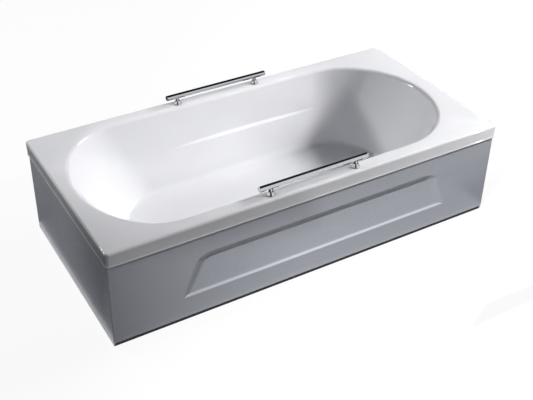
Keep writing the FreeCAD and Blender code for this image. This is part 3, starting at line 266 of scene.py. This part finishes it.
def mouldedPlastic(name, dark, light, roughLow, roughHigh):
    # polypropylene or rubber from a textured mould: fine 1.5 mm leather grain and a dull sheen
    material, tree, place = startMaterial(name)
    grain = addNode(tree, "ShaderNodeTexNoise", None,
                    {"Scale": perMetre(1.5), "Detail": 3}, {"Vector": place})
    bump = addNode(tree, "ShaderNodeBump", None, {"Strength": 0.3, "Distance": 0.0002},
                   {"Height": grain.outputs["Fac"]})
    colour = twoColours(tree, grain.outputs["Fac"], dark, light)
    return finishMaterial(material, tree, {"IOR": 1.49},
                          {"Base Color": colour,
                           "Roughness": between(tree, grain.outputs["Fac"], roughLow, roughHigh),
                           "Normal": bump.outputs["Normal"]})


def blackCard():
    # flocked black card, which sends back almost no light
    material = bpy.data.materials.new("blackCard")
    material.use_nodes = True
    shader = material.node_tree.nodes["Principled BSDF"]
    shader.inputs["Base Color"].default_value = hexColour("#0B0B0B")
    shader.inputs["Roughness"].default_value = 1.0
    return material


finishes = {
    "castAcrylic": castAcrylic(),
    "panelAcrylicPaintedShade": panelAcrylicPaintedShade(),
    "glassFibreBack": glassFibreBack(),
    "chromePlate": chromePlate(),
    "pineAlong": planedSoftwood("pineAlong", (0.03, 1.0, 1.0)),
    "pineAcross": planedSoftwood("pineAcross", (1.0, 0.03, 1.0)),
    "particleBoard": particleBoard(),
    "galvanisedSteel": galvanisedSteel(),
    "zincPlate": zincPlate(),
    "blackPolypropylene": mouldedPlastic("blackPolypropylene", "#141416", "#202022", 0.45, 0.6),
    "blackPlinthPlastic": mouldedPlastic("blackPlinthPlastic", "#0C0C0E", "#141416", 0.6, 0.75),
    "whitePolypropylene": mouldedPlastic("whitePolypropylene", "#D4D5D2", "#E4E4E1", 0.4, 0.55),
    "blackRubber": mouldedPlastic("blackRubber", "#111112", "#1A1A1B", 0.7, 0.85),
    "cableJacket": mouldedPlastic("cableJacket", "#1B1B1E", "#26262A", 0.4, 0.55),
}

# Which finish each node of the frame takes, by the record's material slot
slotFinishes = {
    "acrylic_shell": "castAcrylic", "acrylic_panel": "panelAcrylicPaintedShade", "board": "particleBoard",
    "galvanised_steel": "galvanisedSteel", "foot_plastic": "blackPolypropylene",
    "zinc_steel": "zincPlate", "plinth": "blackPlinthPlastic", "chrome_plate": "chromePlate",
    "black_rubber": "blackRubber", "waste_plastic": "whitePolypropylene",
    "cable_jacket": "cableJacket",
}
for part in frame["record"]["subparts"]:
    if part["material_slot"] == "timber":
        along = part["node"].startswith(("front", "rear"))
        finish = finishes["pineAlong" if along else "pineAcross"]
    else:
        finish = finishes[slotFinishes[part["material_slot"]]]
    mesh = nodes[part["node"]].data
    mesh.materials.clear()
    mesh.materials.append(finish)


# Pieces made here

def newPiece(name, mesh, materials, body, replaced, sharpAngle=35):
    for material in materials:
        mesh.materials.append(finishes[material])
    mesh.shade_smooth()
    mesh.set_sharp_from_angle(angle=math.radians(sharpAngle))
    piece = bpy.data.objects.new(name, mesh)
    bpy.context.scene.collection.objects.link(piece)
    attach(piece, body)
    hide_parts(*replaced)
    return piece


def softMin(first, second, blend):
    # the lower of two values, with a rounded change from one to the other
    share = np.clip(0.5 + 0.5 * (second - first) / blend, 0, 1)
    return second * (1 - share) + first * share - blend * share * (1 - share)


tubShell = {
    "length": 1.700, "width": 0.820, "top": 0.420, "wall": 0.006,
    "cornerRadius": 0.015, "innerCornerRadius": 0.004, "edgeRadius": 0.008,
    "lipDrop": 0.058, "lipFoot": 0.002, "lipInsideStep": 0.020,
    # the rim's face draws in a little above its rolled lower edge:
    # (drawn in, below the deck), then (drawn in, above the lip's bottom)
    "lipFace": ((0.0002, 0.012), (0.000825, 0.030)),
    "rolledEdge": ((0.0015, 0.0085), (0.0015, 0.0065), (0.000675, 0.0045), (0.0, 0.003)),
    "depth": 0.348, "floorRadius": 0.045,
    "mouthRadius": 0.014, "mouthRadiusAtEnds": 0.026,
    # wall lines as (at the deck, at the floor)
    "head": (0.795, 0.595), "foot": (0.771, 0.625), "side": (0.347, 0.280),
    "headCap": (0.272, 0.230), "footCap": (0.322, 0.225),
    # the armrest, over which the side wall is set back
    "ledgeHeight": 0.250, "ledgeDepth": 0.012, "ledgeReach": (-0.280, 0.475),
    "ledgeRise": 0.145, "ledgeLean": 0.016, "ledgeSoftness": 0.012, "ledgeFade": 0.004,
    "wasteHole": (0.400, 0.0, 0.0255),               # x, y, radius
    "overflowHole": (0.400, 0.352, 0.0245),          # x, z, radius
    "studHoles": (0.0045, -0.012, 0.1855, 0.378),    # radius, middle x, reach in x, reach in y
    "cutterLength": 0.040, "holeSides": 64, "studHoleSides": 24,
    # how finely it is divided, with rows of the wall as (lowest, highest, count)
    "endColumns": 96, "sideColumns": 64, "cornerSpread": 5,
    "roundingRows": 11, "edgeRows": 9, "lipFootRows": 5,
    "wallRows": ((0.118, 0.236, 10), (0.238, 0.262, 17), (0.270, 0.396, 18)),
    "floorRings": (1.0, 0.9, 0.7, 0.45, 0.2),
    # how the wall is searched for: levels, the longest run, halvings, and the step for its slope
    "levels": 81, "longestRun": 0.320, "halvings": 40, "slopeStep": 0.02, "slopePasses": 6,
}


def outlineAt(tub, share):
    # the basin's outline sizes from the deck (0) to the floor (1)
    sizes = {key: tub[key][0] + (tub[key][1] - tub[key][0]) * share
             for key in ("head", "foot", "side", "headCap", "footCap")}
    return (sizes["side"], sizes["foot"] - sizes["footCap"], sizes["footCap"],
            sizes["headCap"] - sizes["head"], sizes["headCap"])


def mouthColumns(tub):
    # points round the basin's mouth, the level direction into the basin at each, and how far
    # each belongs to a rounded end: 0 along the sides, 1 at the very end
    side, footX, footCap, headX, headCap = outlineAt(tub, 0)
    turns = np.linspace(-math.pi / 2, math.pi / 2, tub["endColumns"] + 1)
    steps = np.linspace(0, 1, tub["sideColumns"] + 1)[1:-1]
    foot = np.stack([footX + footCap * np.cos(turns), side * np.sin(turns),
                     -np.cos(turns) / footCap, -np.sin(turns) / side, np.cos(turns)], 1)
    head = np.stack([headX - headCap * np.cos(turns), -side * np.sin(turns),
                     np.cos(turns) / headCap, np.sin(turns) / side, np.cos(turns)], 1)
    rear = np.stack([footX + (headX - footX) * steps, side + 0 * steps,
                     0 * steps, -1 + 0 * steps, 0 * steps], 1)
    front = np.stack([headX + (footX - headX) * steps, -side + 0 * steps,
                      0 * steps, 1 + 0 * steps, 0 * steps], 1)
    columns = np.concatenate([foot, rear, head, front])
    columns[:, 2:4] /= np.linalg.norm(columns[:, 2:4], axis=1)[:, None]
    return columns[:, :2], columns[:, 2:4], columns[:, 4]


def wallRuns(tub, mouth, inward):
    # how far in the wall has come at each level, found by halving
    runs = []
    for share in np.linspace(0, 1, tub["levels"]):
        side, footX, footCap, headX, headCap = outlineAt(tub, share)
        low, high = np.zeros(len(mouth)), np.full(len(mouth), tub["longestRun"])
        for _ in range(tub["halvings"]):
            middle = (low + high) / 2
            x, y = (mouth + inward * middle[:, None]).T
            across = np.where(x > footX, (x - footX) / footCap,
                              np.where(x < headX, (x - headX) / headCap, 0))
            outside = across ** 2 + (y / side) ** 2 > 1
            low, high = np.where(outside, middle, low), np.where(outside, high, middle)
        runs.append(high)
    runs[0] = np.zeros(len(mouth))
    return np.array(runs)


def rimColumns(tub, mouth, inward):
    # for each column, a point on the rim's inner rectangle and the way out of the tub there
    halfX = tub["length"] / 2 - tub["cornerRadius"]
    halfY = tub["width"] / 2 - tub["cornerRadius"]
    out = -inward

    def reachTo(half, axis):
        # how far out the line at this half size lies, or very far for a way that never meets it
        way = out[:, axis]
        meets = np.abs(way) > 1e-9
        gap = np.sign(way) * half - mouth[:, axis]
        return np.where(meets, gap / np.where(meets, way, 1), 1e9)

    farX, farY = reachTo(halfX, 0), reachTo(halfY, 1)
    points = mouth + out * np.minimum(farX, farY)[:, None]
    toEnd = (farX < farY)[:, None]
    ways = np.where(toEnd, np.stack([np.sign(out[:, 0]), 0 * farX], 1),
                    np.stack([0 * farX, np.sign(out[:, 1])], 1))
    # at each corner some columns share its point and fan out round it
    total, spread = len(mouth), tub["cornerSpread"]
    for signX in (-1, 1):
        for signY in (-1, 1):
            corner = np.array([signX * halfX, signY * halfY])
            nearest = int(np.argmin(np.linalg.norm(points - corner, axis=1)))
            before = ways[(nearest - spread - 1) % total]
            startAngle = math.atan2(before[1], before[0])
            after = ways[(nearest + spread + 1) % total]
            turn = math.atan2(before[0] * after[1] - before[1] * after[0],
                              before[0] * after[0] + before[1] * after[1])
            for step in range(-spread, spread + 1):
                angle = startAngle + turn * (step + spread) / (2 * spread)
                points[(nearest + step) % total] = corner
                ways[(nearest + step) % total] = (math.cos(angle), math.sin(angle))
    return points, ways


def ledgeDepthAt(tub, x, z):
    # how far the side wall is set back over the armrest
    start, end = tub["ledgeReach"]
    reach, middle, depth = (end - start) / 2, (end + start) / 2, tub["ledgeDepth"]
    radius = (reach ** 2 + depth ** 2) / (2 * depth)
    bow = np.sqrt(np.maximum(radius ** 2 - (x - middle) ** 2, 0)) - (radius - depth)
    up = z - tub["ledgeHeight"]
    wallLean = (tub["side"][0] - tub["side"][1]) / tub["depth"]
    raw = bow + up * (tub["ledgeLean"] / tub["ledgeRise"] - wallLean)
    fade = tub["ledgeFade"]
    soft = -softMin(-raw, 0 * raw, fade)
    rise = np.clip(up / tub["ledgeSoftness"] + 0.5, 0, 1)
    return np.maximum(soft - fade / 4, 0) * rise * rise * (3 - 2 * rise)


def atHeight(xy, height):
    return np.column_stack([xy, np.full(len(xy), height)])


def basinRows(tub, mouth, inward, endShare):
    # rows from the floor's edge up to the deck, on the face and on the back of the wall
    runs = wallRuns(tub, mouth, inward)
    top, depth, wall = tub["top"], tub["depth"], tub["wall"]
    step, levels, column = tub["slopeStep"], len(runs), np.arange(len(mouth))

    def runAt(share):
        place = np.clip(share, 0, 1) * (levels - 1)
        low = np.minimum(place.astype(int), levels - 2)
        part = place - low
        return runs[low, column] * (1 - part) + runs[low + 1, column] * part

    def slopeAt(share):
        near = np.clip(share, step, 1 - step)
        return np.arctan2(depth, (runAt(near + step) - runAt(near - step)) / (2 * step))

    # where the two roundings touch the wall, from a guess that a few passes mend
    narrow, wide = tub["mouthRadius"], tub["mouthRadiusAtEnds"]
    mouthRadius, floorRadius = narrow + (wide - narrow) * endShare ** 2, tub["floorRadius"]
    shareTop, shareFloor = 0.02 + 0 * endShare, 0.9 + 0 * endShare
    for _ in range(tub["slopePasses"]):
        shareTop = mouthRadius * (1 - np.cos(slopeAt(shareTop))) / depth
        shareFloor = 1 - floorRadius * (1 - np.cos(slopeAt(shareFloor))) / depth
    slopeTop, slopeFloor = slopeAt(shareTop), slopeAt(shareFloor)
    topMiddle = runAt(shareTop) - mouthRadius * np.sin(slopeTop)
    floorMiddle = runAt(shareFloor) + floorRadius * np.sin(slopeFloor)

    rows = []  # each row: level run, height, and the visible side's normal in that plane
    for part in np.linspace(0, 1, tub["roundingRows"]):  # floor rounding, from the floor up
        angle = slopeFloor * part
        rows.append((floorMiddle - floorRadius * np.sin(angle),
                     top - depth + floorRadius * (1 - np.cos(angle)),
                     np.sin(angle), np.cos(angle)))
    heights = np.concatenate([np.linspace(*part) for part in tub["wallRows"]])
    for height in np.unique(heights.round(5)):
        share = (top - height) / depth + 0 * endShare
        slope = slopeAt(share)
        rows.append((runAt(share), height + 0 * endShare, np.sin(slope), np.cos(slope)))
    for part in np.linspace(1, 0, tub["roundingRows"]):  # the mouth's rounding, up to the deck
        angle = slopeTop * part
        rows.append((topMiddle + mouthRadius * np.sin(angle),
                     top - mouthRadius * (1 - np.cos(angle)), np.sin(angle), np.cos(angle)))

    inner, back = [], []
    for run, height, level, upright in rows:
        for points, offset in ((inner, 0), (back, wall)):
            xy = mouth + inward * (run - offset * level)[:, None]
            # the armrest is cut only where the wall faces sideways
            setBack = ledgeDepthAt(tub, xy[:, 0], height) * np.abs(inward[:, 1]) ** 4
            xy[:, 1] += np.sign(mouth[:, 1]) * setBack
            points.append(np.column_stack([xy, height - offset * upright]))
    return inner, back


def floorRings(tub, edge):
    # rings from the floor's middle line out towards its edge
    _, footX, _, headX, _ = outlineAt(tub, 1)
    middle = np.column_stack([np.clip(edge[:, 0], headX, footX), 0 * edge[:, 1]])
    return [edge + (middle - edge) * part for part in tub["floorRings"]]


def rimRows(tub, mouth, inward):
    # rows over the deck's edge and down the lip, then up the lip's inside
    points, ways = rimColumns(tub, mouth, inward)
    top, bottom = tub["top"], tub["top"] - tub["lipDrop"]
    core, edge, foot = tub["cornerRadius"], tub["edgeRadius"], tub["lipFoot"]
    profile = []  # how far out and how high
    for angle in np.linspace(0, math.pi / 2, tub["edgeRows"]):
        profile.append((core - edge + edge * math.sin(angle),
                        top - edge + edge * math.cos(angle)))
    profile += [(core - inset, top - drop) for inset, drop in tub["lipFace"]]
    profile += [(core - inset, bottom + rise) for inset, rise in tub["rolledEdge"]]
    for angle in np.linspace(0, math.pi / 2, tub["lipFootRows"]):
        profile.append((core - foot + foot * math.cos(angle),
                        bottom + foot - foot * math.sin(angle)))
    outside = [atHeight(points + ways * reach, height) for reach, height in profile]

    inset = core - tub["wall"] - tub["innerCornerRadius"]
    corner = [tub["length"] / 2 - core, tub["width"] / 2 - core]
    atCorner = np.all(np.isclose(np.abs(points), corner), axis=1)[:, None]
    pulled = points + np.where(atCorner, np.sign(points) * inset, ways * inset)
    xy = pulled + ways * tub["innerCornerRadius"]
    inside = [atHeight(xy, height)
              for height in (bottom, bottom + tub["lipInsideStep"], top - tub["wall"])]
    return outside, inside


def shellRows(tub):
    # rows of points from the middle of the floor up the basin, over the rim, and back behind
    mouth, inward, endShare = mouthColumns(tub)
    inner, back = basinRows(tub, mouth, inward, endShare)
    outside, inside = rimRows(tub, mouth, inward)
    rings, floorZ = floorRings(tub, inner[0][:, :2]), tub["top"] - tub["depth"]
    floorTop = [atHeight(ring, floorZ) for ring in rings]
    floorBack = [atHeight(ring, floorZ - tub["wall"]) for ring in rings]
    return floorTop + inner + outside, inside + back[::-1] + floorBack[::-1]


def cutterMesh(tub):
    # round cutters for the waste, the overflow and the four bar studs
    shape = bmesh.new()
    x, y, radius = tub["wasteHole"]
    floorZ = tub["top"] - tub["depth"]
    places = [(Matrix.Translation((x, y, floorZ)), radius, tub["holeSides"])]
    x, z, radius = tub["overflowHole"]
    run = tub["side"][0] - tub["side"][1]
    y = -(tub["side"][0] - run * (tub["top"] - z) / tub["depth"])
    tilt = Matrix.Rotation(math.atan2(run, tub["depth"]) - math.pi / 2, 4, "X")
    places.append((Matrix.Translation((x, y, z)) @ tilt, radius, tub["holeSides"]))
    radius, middle, reach, line = tub["studHoles"]
    for signX in (-1, 1):
        for signY in (-1, 1):
            place = Matrix.Translation((middle + signX * reach, signY * line, tub["top"]))
            places.append((place, radius, tub["studHoleSides"]))
    for place, radius, sides in places:
        bmesh.ops.create_cone(shape, cap_ends=True, segments=sides, radius1=radius,
                              radius2=radius, depth=tub["cutterLength"], matrix=place)
    mesh = bpy.data.meshes.new("cutters")
    shape.to_mesh(mesh)
    shape.free()
    return mesh


def makeTubShell(tub):
    front, behind = shellRows(tub)
    rows = front + behind
    count = len(rows[0])
    vertices = np.concatenate(rows)
    faces, sides = [], []
    for row in range(len(rows) - 1):
        for column in range(count):
            after = (column + 1) % count
            faces.append((row * count + column, (row + 1) * count + column,
                          (row + 1) * count + after, row * count + after))
            sides.append(0 if row < len(front) - 1 else 1)  # acrylic in front, glass fibre behind
    mesh = bpy.data.meshes.new("tubShell")
    mesh.from_pydata(vertices.tolist(), [], faces)
    mesh.polygons.foreach_set("material_index", sides)
    shape = bmesh.new()
    shape.from_mesh(mesh)
    bmesh.ops.remove_doubles(shape, verts=shape.verts, dist=1e-6)  # columns meet at the corners
    bmesh.ops.recalc_face_normals(shape, faces=shape.faces)
    shape.to_mesh(mesh)
    shape.free()
    mesh.materials.append(finishes["castAcrylic"])
    mesh.materials.append(finishes["glassFibreBack"])

    blank = bpy.data.objects.new("shellBlank", mesh)
    cutters = bpy.data.objects.new("shellCutters", cutterMesh(tub))
    cutters.data.materials.append(finishes["castAcrylic"])
    for item in (blank, cutters):
        bpy.context.scene.collection.objects.link(item)
    holes = blank.modifiers.new("holes", "BOOLEAN")
    holes.operation, holes.solver, holes.object = "DIFFERENCE", "EXACT", cutters
    bpy.context.view_layer.update()
    finished = blank.evaluated_get(bpy.context.evaluated_depsgraph_get())
    cutMesh = bpy.data.meshes.new_from_object(finished)
    for item in (blank, cutters):
        bpy.data.objects.remove(item)
    cutMesh.name = "tubShell"
    return newPiece("tubShell", cutMesh, [], "tub", ["tub_shell"])


makeTubShell(tubShell)
print("Tub shell made")


frontPanel = {
    "halfLength": 0.8435, "face": 0.4035, "sheet": 0.004, "bottom": 0.020, "top": 0.400,
    "endRadius": 0.0038,
    "flange": (0.800, 0.025, 0.030),     # reach, height, depth
    "flangeOverlap": 0.0005, "flangeBevel": 0.0008,
    "recess": (0.109, 0.282), "recessReach": (0.597, 0.529), "recessShift": 0.025,
    "recessDepth": (0.007, 0.018), "softness": 0.003,
    # how steep the recess's sides are, and the rounding of its corners in depth
    "slopes": {"end": 0.34, "top": 0.55, "bottom": 1.0}, "cornerRadii": (0.002, 0.018),
    # how finely it is divided: all over, then closer by the recess's ends, bottom and top
    "columns": 120, "endColumns": 7, "recessColumns": (0.44, 0.605, 84),
    "rows": 46, "recessRows": ((0.100, 0.124, 17), (0.240, 0.290, 32)),
}


def recessDepthAt(panel, x, z):
    # depth of the pressed recess: a leaning floor between a steep lower side, softer ends
    # and a soft upper side
    low, high = panel["recess"]
    wide, narrow = panel["recessReach"]
    shallow, deep = panel["recessDepth"]
    slopes = panel["slopes"]
    lean = (wide - narrow) / (high - low)
    end = slopes["end"] * (wide - lean * (z - low) - np.abs(x - panel["recessShift"]))

    def cornered(first, second, radius):
        out = np.hypot(np.maximum(radius - first, 0), np.maximum(radius - second, 0))
        return np.maximum(radius, np.minimum(first, second)) - out

    lowRadius, highRadius = panel["cornerRadii"]
    inside = np.minimum(cornered(end, slopes["top"] * (high - z), highRadius),
                        cornered(end, slopes["bottom"] * (z - low), lowRadius))
    floor = shallow + (deep - shallow) * (z - low) / (high - low)
    soft = panel["softness"]
    return np.maximum(-softMin(-softMin(inside, floor, soft), 0 * floor, soft) - soft / 4, 0)


def makeFrontPanel(panel):
    half, face, sheet = panel["halfLength"], panel["face"], panel["sheet"]
    shift, radius = panel["recessShift"], panel["endRadius"]
    plain = np.linspace(-half + radius, half - radius, panel["columns"])
    ends = half - radius + radius * np.sin(np.linspace(0, math.pi / 2, panel["endColumns"]))
    close = np.linspace(*panel["recessColumns"])
    xs = np.unique(np.concatenate([plain, shift + close, shift - close, ends, -ends]).round(5))
    rows = [np.linspace(panel["bottom"], panel["top"], panel["rows"])]
    rows += [np.linspace(*part) for part in panel["recessRows"]]
    zs = np.unique(np.concatenate(rows).round(5))
    x, z = np.meshgrid(xs, zs, indexing="ij")
    past = np.maximum(np.abs(x) - half + radius, 0)  # how far into a rounded end
    roundOff = radius - np.sqrt(np.maximum(radius ** 2 - past ** 2, 0))
    y = -face + recessDepthAt(panel, x, z) + roundOff
    yBack = np.maximum(y + sheet, -face + sheet)
    wide, tall = x.shape
    vertices = np.concatenate([np.stack([x, y, z], 2).reshape(-1, 3),
                               np.stack([x, yBack, z], 2).reshape(-1, 3)])
    total = wide * tall
    faces = []
    for i in range(wide - 1):  # front and back
        for j in range(tall - 1):
            a, b = i * tall + j, (i + 1) * tall + j
            c, d = b + 1, a + 1
            faces.append((a, b, c, d))
            faces.append((total + a, total + d, total + c, total + b))
    for i in range(wide - 1):  # the edges at the bottom and the top
        for j in (0, tall - 1):
            a, b = i * tall + j, (i + 1) * tall + j
            faces.append((a, b, total + b, total + a))
    for j in range(tall - 1):  # the edges at the two ends
        for i in (0, wide - 1):
            a, b = i * tall + j, i * tall + j + 1
            faces.append((a, b, total + b, total + a))
    mesh = bpy.data.meshes.new("frontPanel")
    mesh.from_pydata(vertices.tolist(), [], faces)
    shape = bmesh.new()
    shape.from_mesh(mesh)
    reach, height, depth = panel["flange"]  # the flange behind the bottom edge
    overlap = panel["flangeOverlap"]
    place = Matrix.Translation((0, -face + sheet + depth / 2 - overlap, height + sheet / 2))
    size = Matrix.Diagonal((2 * reach, depth + 2 * overlap, sheet, 1))
    made = bmesh.ops.create_cube(shape, size=1, matrix=place @ size)
    edges = list({edge for vertex in made["verts"] for edge in vertex.link_edges})
    bmesh.ops.bevel(shape, geom=edges, offset=panel["flangeBevel"], segments=2,
                    affect="EDGES")
    bmesh.ops.recalc_face_normals(shape, faces=shape.faces)
    shape.to_mesh(mesh)
    shape.free()
    return newPiece("frontPanel", mesh, ["panelAcrylicPaintedShade"], "tub", ["front_apron"])


makeFrontPanel(frontPanel)
print("Front panel made")


# Floor, lamps and world

studio = {
    "lamps": {  # place, aim, width and height, watts, colour
        "keyLamp": ((5.90, 0.0, 4.20), (0.0, 0.0, 0.30), (1.8, 1.8), 246, "#FFFFFF"),
        "sideLamp": ((3.98, -1.85, 2.95), (3.98, 0.0, 0.90), (1.2, 0.15), 284, "#FFFFFF"),
        "frontLamp": ((-5.00, -3.60, 8.00), (0.0, -0.4, 0.20), (0.4, 0.4), 1110, "#FFFFFF"),
        "backLamp": ((-3.00, 2.80, 3.10), (0.4, 0.0, 0.30), (0.8, 0.8), 102, "#FFFFFF"),
        "rimLamp": ((1.75, -1.60, 0.40), (0.6, -0.41, 0.39), (0.02, 0.02), 8.0, "#FFFFFF"),
    },
    "skyColour": "#D8E0F6", "skyStrength": 0.06,
    "floorColour": "#E6E6E8", "floorHalf": 20,
    "floorGlow": 0.93,  # the share of even white in what the eye sees of the floor
    # dark cards: name, what sees them, two corners
    "flags": (
        # a dark ceiling and back wall for what mirrors them
        ("overheadFlag", ("glossy",), (-3.0, -1.8, 3.2), (3.0, 4.2, 3.2)),
        ("wallFlag", ("glossy",), (-3.0, 4.4, 0.9), (6.0, 4.4, 4.0)),
        # these keep the front lamp off the deck and the basin, all but the far wall, which
        # the lamp reaches through a gap where two slats take out half of its light
        ("lowGobo", ("shadow",), (-3.0, -0.9, 1.50), (-0.8, -0.9, 2.53)),
        ("highGobo", ("shadow",), (-3.0, -0.9, 2.82), (-0.8, -0.9, 3.4)),
        ("headSideGobo", ("shadow",), (-3.0, -0.9, 2.53), (-1.95, -0.9, 2.82)),
        ("footSideGobo", ("shadow",), (-1.28, -0.9, 2.53), (-0.8, -0.9, 2.82)),
        ("stepGobo", ("shadow",), (-1.43, -0.9, 2.53), (-1.28, -0.9, 2.68)),
        ("footGobo", ("shadow",), (-0.8, -0.9, 1.53), (0.0, -0.9, 3.4)),
        ("slatGobo", ("shadow",), (-1.95, -0.9, 2.58), (-1.28, -0.9, 2.665)),
        ("highSlatGobo", ("shadow",), (-1.95, -0.9, 2.715), (-1.28, -0.9, 2.7775)),
        # these keep it off the head end panel
        ("panelGobo", ("shadow",), (-6.0, -2.2, 4.0), (-3.06, -2.2, 5.0)),
        ("panelHighGobo", ("shadow",), (-6.0, -2.2, 5.0), (-3.4, -2.2, 6.5)),
        # one behind the tub for the back lamp, and one that leaves the rim lamp the rim alone
        ("cornerGobo", ("shadow",), (-2.2, 0.9, 1.25), (-1.69, 0.9, 1.9)),
        ("rimGobo", ("shadow",), (0.2, -1.0, 0.18), (1.5, -1.0, 0.381)),
        # these keep the side lamp off the front panel
        ("sideGobo", ("shadow",), (0.4, -0.9, 0.97), (2.30, -0.9, 1.235)),
        ("sideStepGobo", ("shadow",), (0.4, -0.9, 1.235), (1.05, -0.9, 1.256)),
        # this one darkens what mirrors the front, such as the cones under the bars' posts
        ("frontFlag", ("glossy",), (-6.0, -4.2, 0.8), (-0.2, -4.2, 6.0)),
        # these lie on the floor, which is white only to the eye and to mirrors
        ("rearCard", ("glossy",), (-4.0, 0.43, 0.004), (5.0, 4.4, 0.004)),
        ("footCard", ("glossy",), (0.87, -0.60, 0.004), (5.0, 0.43, 0.004)),
        ("frontCard", ("diffuse",), (-4.0, -5.0, 0.004), (4.0, -0.42, 0.004)),
        ("headCard", ("diffuse", "glossy"), (-4.0, -0.42, 0.004), (-0.86, 3.0, 0.004)),
    ),
    # small cards just over the deck, left and right of each post, that only mirrors see
    "postCards": {"near": 0.011, "far": 0.045, "halfWidth": 0.030, "lift": 0.0006},
}


def addLamp(name, place, aim, size, watts, colour):
    lamp = bpy.data.lights.new(name, "AREA")
    lamp.shape, lamp.energy = "RECTANGLE", watts
    lamp.size, lamp.size_y = size
    lamp.color = hexColour(colour)[:3]
    holder = bpy.data.objects.new(name, lamp)
    holder.location = place
    holder.rotation_euler = (Vector(aim) - Vector(place)).to_track_quat("-Z", "Y").to_euler()
    holder.visible_camera = False
    bpy.context.scene.collection.objects.link(holder)


def addFlag(name, seenBy, corners, card):
    (x0, y0, z0), (x1, y1, z1) = corners
    mesh = bpy.data.meshes.new(name)
    points = [(x0, y0, z0), (x1, y0, z0), (x1, y1, z1), (x0, y1, z1)]
    mesh.from_pydata(points, [], [(0, 1, 2, 3)])
    mesh.materials.append(card)
    flag = bpy.data.objects.new(name, mesh)
    bpy.context.scene.collection.objects.link(flag)
    for way in ("camera", "diffuse", "glossy", "shadow", "transmission", "volume_scatter"):
        setattr(flag, "visible_" + way, way in seenBy)


def addFlags(room, tub):
    card = blackCard()
    for name, seenBy, *corners in room["flags"]:
        addFlag(name, seenBy, corners, card)
    cards, z = room["postCards"], tub["top"] + room["postCards"]["lift"]
    middle, reach, line = tub["studHoles"][1:]
    for x in (middle - reach, middle + reach):
        for y in (-line, line):
            for way in (-1, 1):
                corners = ((x + way * cards["near"], y - cards["halfWidth"], z),
                           (x + way * cards["far"], y + cards["halfWidth"], z))
                addFlag("postCard", ("glossy",), corners, card)


def seenDirectly(tree):
    # 1 where the camera, a reflection or glass sees the background, 0 where it lights the object
    path = addNode(tree, "ShaderNodeLightPath")
    first = addNode(tree, "ShaderNodeMath", {"operation": "MAXIMUM"}, None,
                    {0: path.outputs["Is Camera Ray"], 1: path.outputs["Is Glossy Ray"]})
    either = addNode(tree, "ShaderNodeMath", {"operation": "MAXIMUM"}, None,
                     {0: first.outputs["Value"], 1: path.outputs["Is Transmission Ray"]})
    return either.outputs["Value"]


def makeWorld(room):
    world = bpy.data.worlds.new("studio")
    bpy.context.scene.world = world
    tree = clearedTree(world)
    sky = addNode(tree, "ShaderNodeBackground", None,
                  {"Color": hexColour(room["skyColour"]), "Strength": room["skyStrength"]})
    paper = addNode(tree, "ShaderNodeBackground", None, {"Color": (1, 1, 1, 1), "Strength": 1.0})
    mixed = addNode(tree, "ShaderNodeMixShader", None, None,
                    {0: seenDirectly(tree), 1: sky.outputs[0], 2: paper.outputs[0]})
    addNode(tree, "ShaderNodeOutputWorld", None, None, {"Surface": mixed.outputs[0]})


def studioPaper(room):
    # matt white paper, smooth and plain, that looks evenly lit
    material = bpy.data.materials.new("studioPaper")
    tree = clearedTree(material)
    matt = addNode(tree, "ShaderNodeBsdfDiffuse", None, {"Color": hexColour(room["floorColour"])})
    glow = addNode(tree, "ShaderNodeEmission", None, {"Color": (1, 1, 1, 1), "Strength": 1.0})
    share = addNode(tree, "ShaderNodeMath", {"operation": "MULTIPLY"}, {1: room["floorGlow"]},
                    {0: seenDirectly(tree)})
    mixed = addNode(tree, "ShaderNodeMixShader", None, None,
                    {0: share.outputs["Value"], 1: matt.outputs[0], 2: glow.outputs[0]})
    addNode(tree, "ShaderNodeOutputMaterial", None, None, {"Surface": mixed.outputs[0]})
    return material


def makeFloor(room):
    half = room["floorHalf"]
    mesh = bpy.data.meshes.new("studioFloor")
    points = [(-half, -half, 0), (half, -half, 0), (half, half, 0), (-half, half, 0)]
    mesh.from_pydata(points, [], [(0, 1, 2, 3)])
    mesh.materials.append(studioPaper(room))
    floor = bpy.data.objects.new("studioFloor", mesh)
    bpy.context.scene.collection.objects.link(floor)


def makeStudio(room):
    for name, settings in room["lamps"].items():
        addLamp(name, *settings)
    addFlags(room, tubShell)
    makeWorld(room)
    makeFloor(room)
    bpy.context.scene.view_settings.view_transform = "Standard"


makeStudio(studio)
print("Floor and lamps set")
